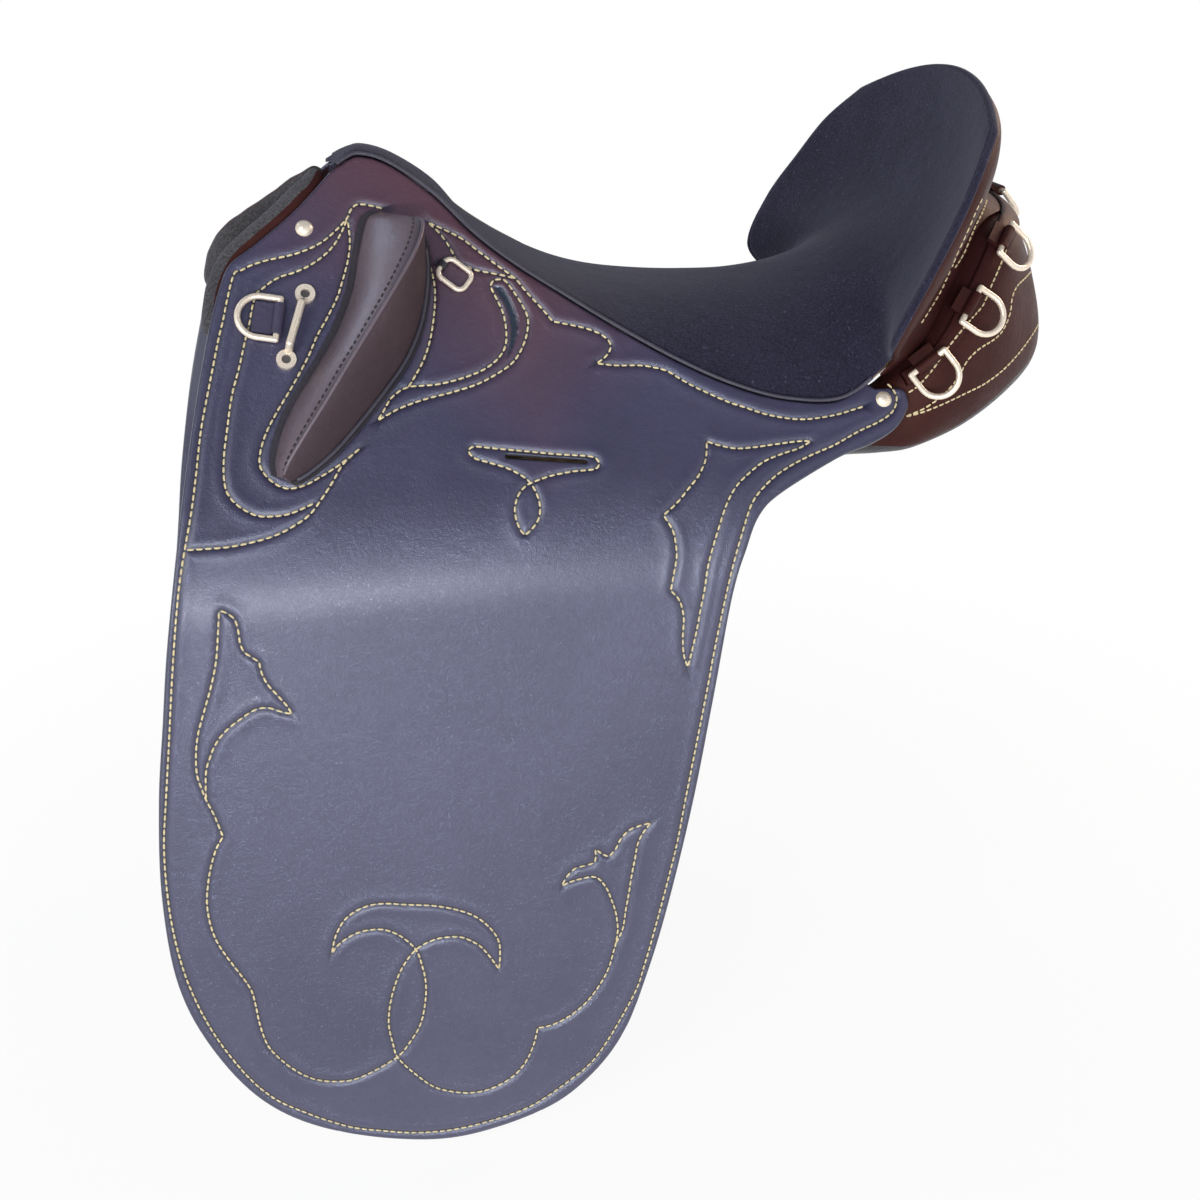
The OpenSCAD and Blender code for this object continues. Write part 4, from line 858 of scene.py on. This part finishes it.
# the seat
def seat_at(t, w, d):
    """Points of the seat at row t and the share w of its half width, at the depth d."""
    t, w, d = np.broadcast_arrays(*(np.asarray(q, float) for q in (t, w, d)))
    mid_x, mid_z, edge_x, edge_z, out, power, tilt = np.moveaxis(along(SEAT, t), -1, 0)[:7]
    a = np.abs(w)
    half = half_w(edge_z * TREE) + out * TREE
    tilt = np.radians(tilt)
    x = (mid_x + (edge_x - mid_x) * a * a) * TREE + d * np.sin(tilt)
    z = (mid_z + (edge_z - mid_z) * a**power) * TREE + COVER_T + GAP - d * np.cos(tilt)
    return np.stack([x, w * half, z], -1)


def rim_w(w):
    return np.sqrt(np.maximum(0, 1 - w**4))


def rim_t(t):
    return np.sqrt(np.maximum(0, 1 - (np.maximum(0, t - 16.5) / 1.5) ** 2))


def foam_low(t, w):
    thick = FOAM_T * np.maximum(0, along(SEAT, t)[..., 7])
    return COVER_T + GAP + thick * np.where(t > 12, rim_w(w) * rim_t(t), 1)


def board_low(t, w):
    return foam_low(t, w) + GAP + BOARD_T * np.maximum(0, along(SEAT, t)[..., 8]) * rim_w(w) * rim_t(t)


SEAT_END, SEAT_FILL, SEAT_ROLL, ROLL_SHARE = 18, 0.7, 1.2, 0.03
seat_spread = np.sin(np.linspace(-np.pi / 2, np.pi / 2, 81)) * 0.35 + np.linspace(-1, 1, 81) * 0.65
seat_t, seat_w = grid_of(np.linspace(0, SEAT_END, 181), seat_spread)
from_edge = share((1 - np.abs(seat_w)) / ROLL_SHARE)
roll_in = SEAT_ROLL * (1 - np.sqrt(share(1 - (1 - from_edge) ** 2)))
inner = share((0.83 - np.abs(seat_w)) / 0.03) * share((seat_t - 4.0) / 0.2)
inner = inner * share((17.5 - seat_t) / 0.1)
seat_low = seat_at(seat_t, seat_w, COVER_T + inner * (foam_low(seat_t, seat_w) - COVER_T))
seat = slab("seat_padded", seat_at(seat_t, seat_w, roll_in), seat_low, M_SUEDE)
dress(seat, "suede", "seat_cover", "seat_foam", fill=SEAT_FILL)

# straining web under the seat: three woven strips
WEB_STRIPS = ((-0.47, -0.18), (-0.14, 0.14), (0.18, 0.47))
WEB_T, WEB_RIB, WEB_RIBS = 1.8, 0.25, 24
for i, (w0, w1) in enumerate(WEB_STRIPS):
    a, b = grid_of(np.linspace(4.5, 11, 60), np.linspace(w0, w1, 12))
    d0 = foam_low(a, b) + GAP
    low = seat_at(a, b, d0 + WEB_T + WEB_RIB * np.cos(a * WEB_RIBS))
    dress(slab("seat_web_%d" % (i + 1), seat_at(a, b, d0), low, M_WEB), "felt", "seat_web")

# back of the cantle, its board, and a rolled bead round its rim
BACK_LIFT, BEAD_DEEP, BEAD_R, BEAD_TAPER = 3.6 * GAP, 3.6, 2.6, 14.0
back_s, back_w = grid_of(np.linspace(0, 1, 40), np.linspace(-1, 1, 81))
t0 = 16 - 2.6 * back_w**2
back_t = t0 + (SEAT_END - t0) * back_s
d0 = board_low(back_t, back_w) + BACK_LIFT
back = slab("cantle_back", seat_at(back_t, back_w, d0), seat_at(back_t, back_w, d0 + BACK_T), M_BROWN)
dress(back, "tan_leather", "cantle_cover")

board_t, board_w = grid_of(np.linspace(12.3, 17.9, 60), np.linspace(-0.97, 0.97, 61))
low = seat_at(board_t, board_w, board_low(board_t, board_w) + 1.2 * GAP)
board = slab("cantle_board", seat_at(board_t, board_w, foam_low(board_t, board_w) + GAP), low, M_WOOD)
dress(board, "wood", "tree_cantle")

t_rim = np.linspace(13.2, SEAT_END, 90)
over_top = seat_at(SEAT_END, np.linspace(-1, 1, 120), BEAD_DEEP)[1:-1]
rim_path = np.vstack([seat_at(t_rim, -1, BEAD_DEEP), over_top, seat_at(t_rim[::-1], 1, BEAD_DEEP)])
rim_path = smooth(rim_path, 2.5)
from_end = np.arange(len(rim_path))
taper = np.clip(np.minimum(from_end, from_end[::-1]) / BEAD_TAPER, 0.12, 1)
bead_up = np.tile([0.3, 0, 1.0], (len(rim_path), 1))
dress(tube("cantle_bead", rod_path(rim_path, BEAD_R * taper, 14, up=bead_up), M_SUEDE), "suede")

# welt along the seat edge
WELT_R, WELT_OUT, WELT_UP = 1.35, 1.8, 1.5
welt_t = np.linspace(0.5, 12.6, 260)
for side, nm in ((-1, "left"), (1, "right")):
    c = seat_at(welt_t, side, COVER_T - WELT_UP) + np.array([0, side * WELT_OUT, 0])
    dress(tube("seat_welt_" + nm, rod_path(c, WELT_R, 10), M_WELT), "tan_leather", "welt_" + nm)


# panels, rear band
def panel_at(t, a, d=0.0, k=1.0):
    """Points of the near panel at row t and the turn a of its section, lifted by d."""
    t, a, d, k = np.broadcast_arrays(*(np.asarray(q, float) for q in (t, a, d, k)))
    place, turn, high_y, high_z, low_y, low_z, half = np.moveaxis(along(PANEL, t) * TREE, -1, 0)
    turn = np.radians(turn / TREE)
    up = np.stack([high_y - low_y, high_z - low_z], -1) / 2
    long = np.linalg.norm(up, axis=-1)
    e = up / long[..., None]
    n = np.stack([e[..., 1], -e[..., 0]], -1)
    c = np.stack([high_y + low_y, high_z + low_z], -1) / 2
    m = 2 / PANEL_ROUND

    def swell(q, p):
        return np.sign(q) * np.abs(q) ** p

    ca, sa = np.cos(np.radians(a)), np.sin(np.radians(a))
    g = n * (swell(ca, 2 - m) / half)[..., None] + e * (swell(sa, 2 - m) / long)[..., None]
    out = (half * swell(ca, m))[..., None] * n + (long * swell(sa, m))[..., None] * e
    p = c + k[..., None] * out + d[..., None] * unit(g)
    return np.stack([place + p[..., 0] * np.sin(turn), -p[..., 0] * np.cos(turn), p[..., 1]], -1)


PANEL_CAP, PANEL_FILL, PANEL_SLACK, LUMP = 0.6, 0.75, 0.4, 0.7
FACED_FROM, FACED_UNDER, FACED_OVER = 7.6, 112, 305


def panel_swell(t):
    f0 = np.sqrt(np.maximum(1 - (1 - share(t / 0.5)) ** 2 * 0.9, 0))
    f1 = np.sqrt(np.maximum(0.05, 1 - (share(t - PANEL_END + PANEL_CAP) / PANEL_CAP) ** 2))
    return f0 * f1


cap_t = PANEL_END - PANEL_CAP + PANEL_CAP * np.sin(np.linspace(0.1, np.pi / 2, 16))
panel_rows = np.concatenate([np.linspace(0, 0.6, 14), np.linspace(0.7, PANEL_END - PANEL_CAP, 130), cap_t])
panel_turns = np.linspace(0, 360, 64, endpoint=False)
panel_t, panel_a = grid_of(panel_rows, panel_turns)
lump = LUMP * np.sin(panel_t * 2.1) * np.cos(np.radians(panel_a) * 3 + 0.6) * share(panel_t / 2)
rings = panel_at(panel_t, panel_a, lump - PANEL_SLACK, panel_swell(panel_t))
panel = tube("panel_left_stuffed", rings, [M_FELT, M_BROWN])
side_faces = (len(panel_rows) - 1) * len(panel_turns)
for i, poly in enumerate(panel.data.polygons):
    if i < side_faces:
        t, a = panel_rows[i // len(panel_turns)], panel_turns[i % len(panel_turns)]
        poly.material_index = int(t > FACED_FROM and (a < FACED_UNDER or a > FACED_OVER))
    else:
        poly.material_index = int(i > side_faces + len(panel_turns))
dress_pair(panel, "felt", "panel_left", fill=PANEL_FILL)

BAND_CROWN = 0.4
band_t, band_a = grid_of(np.linspace(BAND_FROM, BAND_CENTRE, 110), np.linspace(BAND[0], BAND[2], 13))
crown = BAND_CROWN * np.sqrt(share(1 - ((band_a - BAND[1]) / 14) ** 2))


def whole(d):
    a = panel_at(band_t, band_a, d)
    return np.concatenate([a, (a * np.array([1, -1, 1]))[-2::-1]], 0)


band = slab("rear_band_leather", whole(GAP + BAND_T - BAND_CROWN + crown), whole(0 * band_t + GAP), M_BROWN)
dress(band, "tan_leather", "rear_band")

# leather facing between the cantle's back and the panels
FACING_FROM, FACING_DIP, FACING_END, FACING_TURN, FACING_T = 15.93, 2.6, 8.8, 92.0, 2.0
FACING_REACH, FACING_LIFT = 1.1, 7 * GAP
TONGUE, TONGUE_TURN, TONGUE_SINK = 0.38, 28.0, 3.6
facing_w = np.linspace(-FACING_REACH, FACING_REACH, 121)
facing_s = np.linspace(0, 1, 16)[:, None, None]


def facing(d):
    t = FACING_FROM - FACING_DIP * facing_w**2
    w = np.clip(facing_w, -1, 1)
    hi = seat_at(t, w, board_low(t, w) + BACK_LIFT + d)
    station = BAND_CENTRE - (BAND_CENTRE - FACING_END) * np.abs(facing_w)
    dip = np.exp(-(facing_w / TONGUE) ** 4)
    lo = panel_at(station, FACING_TURN - TONGUE_TURN * dip, FACING_LIFT - TONGUE_SINK * dip)
    lo = lo * np.where(facing_w > 0, -1, 1)[:, None] ** np.array([0, 1, 0])
    out = unit(np.cross(lo - hi, np.gradient(hi + lo, axis=0)))
    return hi * (1 - facing_s) + (lo + d * out) * facing_s


face = slab("rear_facing_leather", facing(FACING_T), facing(0), M_BROWN)
dress(face, "tan_leather", "rear_facing")

# stitching on the rear, cast from the photograph's lines onto the leather
REAR_PX = [
    pixels(983,197, 976,211, 968,230, 957,254, 949,273, 938,296, 920,325),
    pixels(987,199, 983,211, 974,229, 964,253, 954,269),
    pixels(1009,231, 1006,250, 996,275, 989,291, 983,305, 972,318, 957,336, 944,353, 933,369, 918,386,
        906,394),
    pixels(1032,255, 1034,265, 1027,276, 1017,286, 1012,298, 1010,313, 1004,328, 996,338, 979,349, 967,361,
        959,376, 949,389, 938,399, 923,409, 904,417),
    pixels(1042,315, 1035,330, 1022,349, 1004,369, 984,384, 964,394, 943,404, 923,412, 904,417)]
REAR_PITCH, REAR_DASH, REAR_LIFT, REAR_JUMP, REAR_SHORTEST = 4.9, 3.9, 0.15, 12, 6
rear_v, rear_f = [], []
for ob in (panel, band, face, back):
    k0 = len(rear_v)
    rear_v += [tuple(1000 * q.co) for q in ob.data.vertices]
    rear_f += [tuple(k0 + i for i in q.vertices) for q in ob.data.polygons]
bvh = BVHTree.FromPolygons(rear_v, rear_f)


def cast(px):
    """The runs of a photographed line on the rear leather: points with their normals."""
    runs, run = [], []
    for d in rays(smooth(np.array(px, float), 1.0)):
        hit, n, _, _ = bvh.ray_cast(Vector(CAM), Vector(d))
        if hit is None:
            continue
        n = np.array(n) * (-1 if n.dot(Vector(d)) > 0 else 1)
        q = np.concatenate([np.array(hit) + REAR_LIFT * n, n])
        if run and np.linalg.norm(run[-1][:3] - q[:3]) > REAR_JUMP:
            runs.append(run)
            run = []
        run.append(q)
    return [np.array(q) for q in [*runs, run] if len(q) > REAR_SHORTEST]


def evened(c):
    """A run averaged over seven points, as its points and its normals."""
    longer = np.vstack([np.repeat(c[:1], 3, 0), c, np.repeat(c[-1:], 3, 0)])
    c = np.stack([np.convolve(longer[:, j], np.ones(7) / 7, "valid") for j in range(6)], 1)
    c = smooth(c[::3], 1.0) if len(c) > 9 else c
    return c[:, :3], c[:, 3:]


rear_sewn = [evened(c) for px in REAR_PX for c in cast(px)]
sewn = stitch_object("rear_stitching_left", rear_sewn, M_GOLD, pitch=REAR_PITCH, dash=REAR_DASH)
dress_pair(sewn, "tan_leather")

# front roll
BIND_FROM, BIND_TO = 84, 150
ROLL_END, ROLL_CAP, ROLL_SINK, ROLL_FILL, ROLL_CUT = 5.5, 0.9, 5.0, 0.8, -0.00015
roll_deep = FLAP_T + GAP + 0.9 * ROLL_THICK
cap_t = ROLL_END + ROLL_CAP * np.sin(np.linspace(0.05, np.pi / 2, 14))
roll_t = np.concatenate([np.linspace(0.01, ROLL_END, 84), cap_t])
rows = along(ROLL, roll_t) * TREE
sink = ROLL_SINK * np.cos(share(roll_t / 1.3) * np.pi / 2)
path = np.stack([rows[:, 0], -half_w(rows[:, 1], roll_deep), rows[:, 1] - sink], 1)
n_roof = np.array([0, -math.cos(A_ROOF), math.sin(A_ROOF)])
b = unit(np.cross(np.gradient(path, axis=0), n_roof))
rounded = np.sqrt(np.maximum(0.06, 1 - ((roll_t - ROLL_END) / ROLL_CAP) ** 4))
k = np.where(roll_t > ROLL_END, rounded, 1) * (1 - 0.08 * np.maximum(0, roll_t - 3))
ripple = (1 + 0.012 * np.sin(roll_t * 9)) * (0.45 + 0.55 * np.sin(share(roll_t / 1.1) * np.pi / 2))
ang = np.linspace(0, 2 * np.pi, 32, endpoint=False)
wide = ROLL_WIDE * np.cos(ang)[None, :, None] * b[:, None]
thick = ROLL_THICK * np.sin(ang)[None, :, None] * n_roof
rings = path[:, None] + (k * ripple)[:, None, None] * (wide + thick)
roll = tube("front_roll_left_soft", rings, [M_LIP, M_BROWN])
for q in roll.data.polygons:
    i, j = divmod(q.index, len(ang))
    a = np.degrees(ang[j]) if i < len(roll_t) - 1 else 0
    q.material_index = int(BIND_FROM < a < BIND_TO or j == 0)
bm = bmesh.new()
bm.from_mesh(roll.data)
bmesh.ops.bisect_plane(bm, geom=bm.verts[:] + bm.edges[:] + bm.faces[:], plane_co=(0, ROLL_CUT, 0),
                       plane_no=(0, 1, 0), clear_outer=True)
bmesh.ops.holes_fill(bm, edges=[e for e in bm.edges if e.is_boundary], sides=0)
bm.to_mesh(roll.data)
bm.free()
roll.data.polygons.foreach_set("use_smooth", [True] * len(roll.data.polygons))
dress_pair(roll, "felt", "front_roll_left", fill=ROLL_FILL)

# knee pads
PAD_AT = np.array([PAD_PLACE[0] * TREE, -float(half_w(PAD_PLACE[1] * TREE)), PAD_PLACE[1] * TREE])
FLAT_X, FLAT_Y = np.array([1.0, 0, 0]), np.array([0, math.sin(A_ROOF), math.cos(A_ROOF)])
PAD_X = math.cos(PAD_TURN) * FLAT_X - math.sin(PAD_TURN) * FLAT_Y
PAD_Y = math.sin(PAD_TURN) * FLAT_X + math.cos(PAD_TURN) * FLAT_Y
PAD_LIFT, PAD_FILL, SEAM_AT = 2 * GAP + 2.5, 0.85, 0.86
SEAM_STITCH = {"wide": 0.75, "high": 0.45, "pitch": 4.4, "dash": 3.0}
RIDGE_R, PIPING_R, PIPING_OUT, PIPING_UP, SEAM_UP = 1.1, 1.5, 0.6, 1.3, 0.2
pad_t = np.linspace(0, 9, 91)
down, front, rear, crest, high = (along(PAD, pad_t) * PAD_LEN).T[..., None]
high = high / PAD_LEN * PAD_H


def on_pad(x, y, z):
    x, y, z = (np.asarray(q)[..., None] for q in (x, y, z))
    return PAD_AT + x * PAD_X + y * PAD_Y + z * n_roof


def front_facet(u):
    """Across and height of the pad's front facet, at the share u of its width."""
    across = front + (crest - front) * u - 0.25 * high * u * (1 - u)
    return across, high * (0.45 * np.sin(np.pi / 2 * u) + 0.55 * u)


def no_marks(ob, *names):
    for n in names:
        set_value(ob, n, np.zeros(len(ob.data.vertices)))


front_u, rear_u = np.linspace(0, 1, 15)[:-1], np.linspace(0, 1, 19)
fx, fz = front_facet(front_u)
gx = crest + (rear - crest) * rear_u
gz = high * (1 - rear_u**1.45) + 0.3 * high * rear_u * (1 - rear_u)
pad_x, pad_z = np.hstack([fx, gx]), np.hstack([fz, gz])
top, wide = len(front_u), pad_x.shape[1]
rings = on_pad(pad_x, -np.repeat(down, wide, 1), pad_z + PAD_LIFT)
pad = tube("knee_pad_left_stuffed", rings, [M_PAD_LIT, M_PAD_SHADED])
crease = np.zeros(rings.shape[:2])
crease[:, top] = 1
crease[:, [top - 1, top + 1]] = 0.4
set_value(pad, "groove", np.concatenate([crease.ravel(), [0, 0]]))
no_marks(pad, "edge", "pocket")
# painted shade: the rear facet takes the darker copy of the pad's leather
for q in pad.data.polygons:
    i, j = divmod(q.index, wide)
    q.material_index = int(i < len(pad_t) - 1 and j >= top)
ridge_edges = {(i * wide + top, (i + 1) * wide + top) for i in range(len(pad_t) - 1)}
sharp = [tuple(sorted(e.vertices)) in ridge_edges for e in pad.data.edges]
pad.data.attributes.new("sharp_edge", "BOOLEAN", "EDGE")
pad.data.attributes["sharp_edge"].data.foreach_set("value", sharp)
dress_pair(pad, "tan_leather", "knee_pad_left", fill=PAD_FILL)

ridge = smooth(on_pad(crest, -down, high + PAD_LIFT)[4:-2, 0], 1.0)
low_edge = smooth(on_pad(rear + PIPING_OUT, -down, 0 * high + PAD_LIFT + PIPING_UP)[12:-4, 0], 2.0)
sx, sz = front_facet(SEAM_AT)
seam = smooth(on_pad(sx, -down, sz + PAD_LIFT + SEAM_UP)[5:-3, 0], 1.0)
seam_out = np.tile(n_roof, (len(seam), 1)) - 0.35 * PAD_X
dress_pair(stitch_object("knee_seam_left", [(seam, seam_out)], M_DARK, **SEAM_STITCH), "tan_leather")
for nm, c, rad, mat in (("knee_ridge_left", ridge, RIDGE_R, M_PAD_LIT),
                        ("knee_piping_left", low_edge, PIPING_R, M_WELT)):
    trim = tube(nm, rod_path(c, rad, 10, up=np.tile(n_roof, (len(c), 1))), mat)
    no_marks(trim, "groove", "edge", "pocket")
    dress_pair(trim, "tan_leather")

# camera
cam = bpy.data.cameras.new("camera")
cam.lens, cam.sensor_width, cam.clip_end = LENS, SENSOR, 50
cam_o = bpy.data.objects.new("camera", cam)
scene.collection.objects.link(cam_o)
cam_o.location = Vector(CAM / 1000)
cam_o.rotation_euler = Vector((AIM - CAM) / 1000).to_track_quat("-Z", "Y").to_euler()
scene.camera = cam_o


# light
def area(name, loc, aim, size, power, color=(1, 1, 1), high=None):
    """A lamp that is a square, or a strip where its height is given."""
    d = bpy.data.lights.new(name, "AREA")
    d.energy, d.size, d.color = power, size, color
    if high is not None:
        d.shape, d.size_y = "RECTANGLE", high
    o = bpy.data.objects.new(name, d)
    scene.collection.objects.link(o)
    o.location = loc
    o.rotation_euler = (Vector(aim) - Vector(loc)).to_track_quat("-Z", "Y").to_euler()


area("key", (-1.9, -2.0, 1.3), (0, 0, -0.1), 1.4, 28)
area("rim", (1.7, 0.5, 0.9), (0.2, 0, 0.1), 0.7, 16, (1, 0.72, 0.52))
area("front", (-2.0, 1.9, 1.6), (-0.15, -0.08, 0.05), 0.6, 9, (0.7, 0.82, 1))
area("strip", (-0.5, -3.2, -0.05), (0, 0, -0.1), 1.8, 48, (0.9, 0.93, 1), high=0.3)
WORLD_STOPS = ((0.1, (0.95, 0.97, 1.0, 1)), (0.9, (0.2, 0.23, 0.31, 1)))
WORLD_POWER = 0.8
world = bpy.data.worlds.new("studio")
scene.world = world
world.use_nodes = True
world_tree = world.node_tree
bg = world_tree.nodes["Background"]
world_place = world_tree.nodes.new("ShaderNodeTexCoord")
world_xyz = world_tree.nodes.new("ShaderNodeSeparateXYZ")
world_ramp = world_tree.nodes.new("ShaderNodeValToRGB")
world_tree.links.new(world_place.outputs["Generated"], world_xyz.inputs[0])
world_tree.links.new(world_xyz.outputs["Z"], world_ramp.inputs["Fac"])
for stop, (position, color) in zip(world_ramp.color_ramp.elements, WORLD_STOPS):
    stop.position, stop.color = position, color
world_tree.links.new(world_ramp.outputs["Color"], bg.inputs["Color"])
bg.inputs["Strength"].default_value = WORLD_POWER

# floor: white to the camera, with a soft shade near the saddle
FLOOR_Z, FLOOR_HALF, SHADE_NEAR, SHADE_FAR, WHITE_NEAR = -0.532, 30, 0.3, 1.1, 0.86
corners = [(x * FLOOR_HALF, y * FLOOR_HALF, FLOOR_Z) for x, y in ((-1, -1), (1, -1), (1, 1), (-1, 1))]
floor_me = bpy.data.meshes.new("floor")
floor_me.from_pydata(corners, [], [(0, 1, 2, 3)])
floor = bpy.data.objects.new("floor", floor_me)
scene.collection.objects.link(floor)
floor_mat = Mat("floor_pale")
floor_me.materials.append(floor_mat.done((0.9, 0.9, 0.9), 0.9, Specular_IOR_Level=0.1))
light_path = floor_mat.node("ShaderNodeLightPath")
seen = floor_mat.math("MAXIMUM", light_path.outputs["Is Camera Ray"], light_path.outputs["Is Glossy Ray"])
seen = floor_mat.math("MAXIMUM", seen, light_path.outputs["Is Transmission Ray"])
away = floor_mat.node("ShaderNodeVectorMath", operation="LENGTH")
floor_mat.link(floor_mat.co, away.inputs[0])
reach = floor_mat.node("ShaderNodeMapRange", in_From_Min=SHADE_NEAR, in_From_Max=SHADE_FAR,
                       in_To_Min=WHITE_NEAR, in_To_Max=1.0)
floor_mat.link(away.outputs["Value"], reach.inputs["Value"])
white = floor_mat.node("ShaderNodeEmission", in_Strength=1.0)
mixer = floor_mat.node("ShaderNodeMixShader")
floor_mat.link(floor_mat.math("MULTIPLY", seen, reach.outputs["Result"]), mixer.inputs[0])
floor_mat.link(floor_mat.p.outputs[0], mixer.inputs[1])
floor_mat.link(white.outputs[0], mixer.inputs[2])
floor_mat.link(mixer.outputs[0], floor_mat.t.nodes["Material Output"].inputs["Surface"])
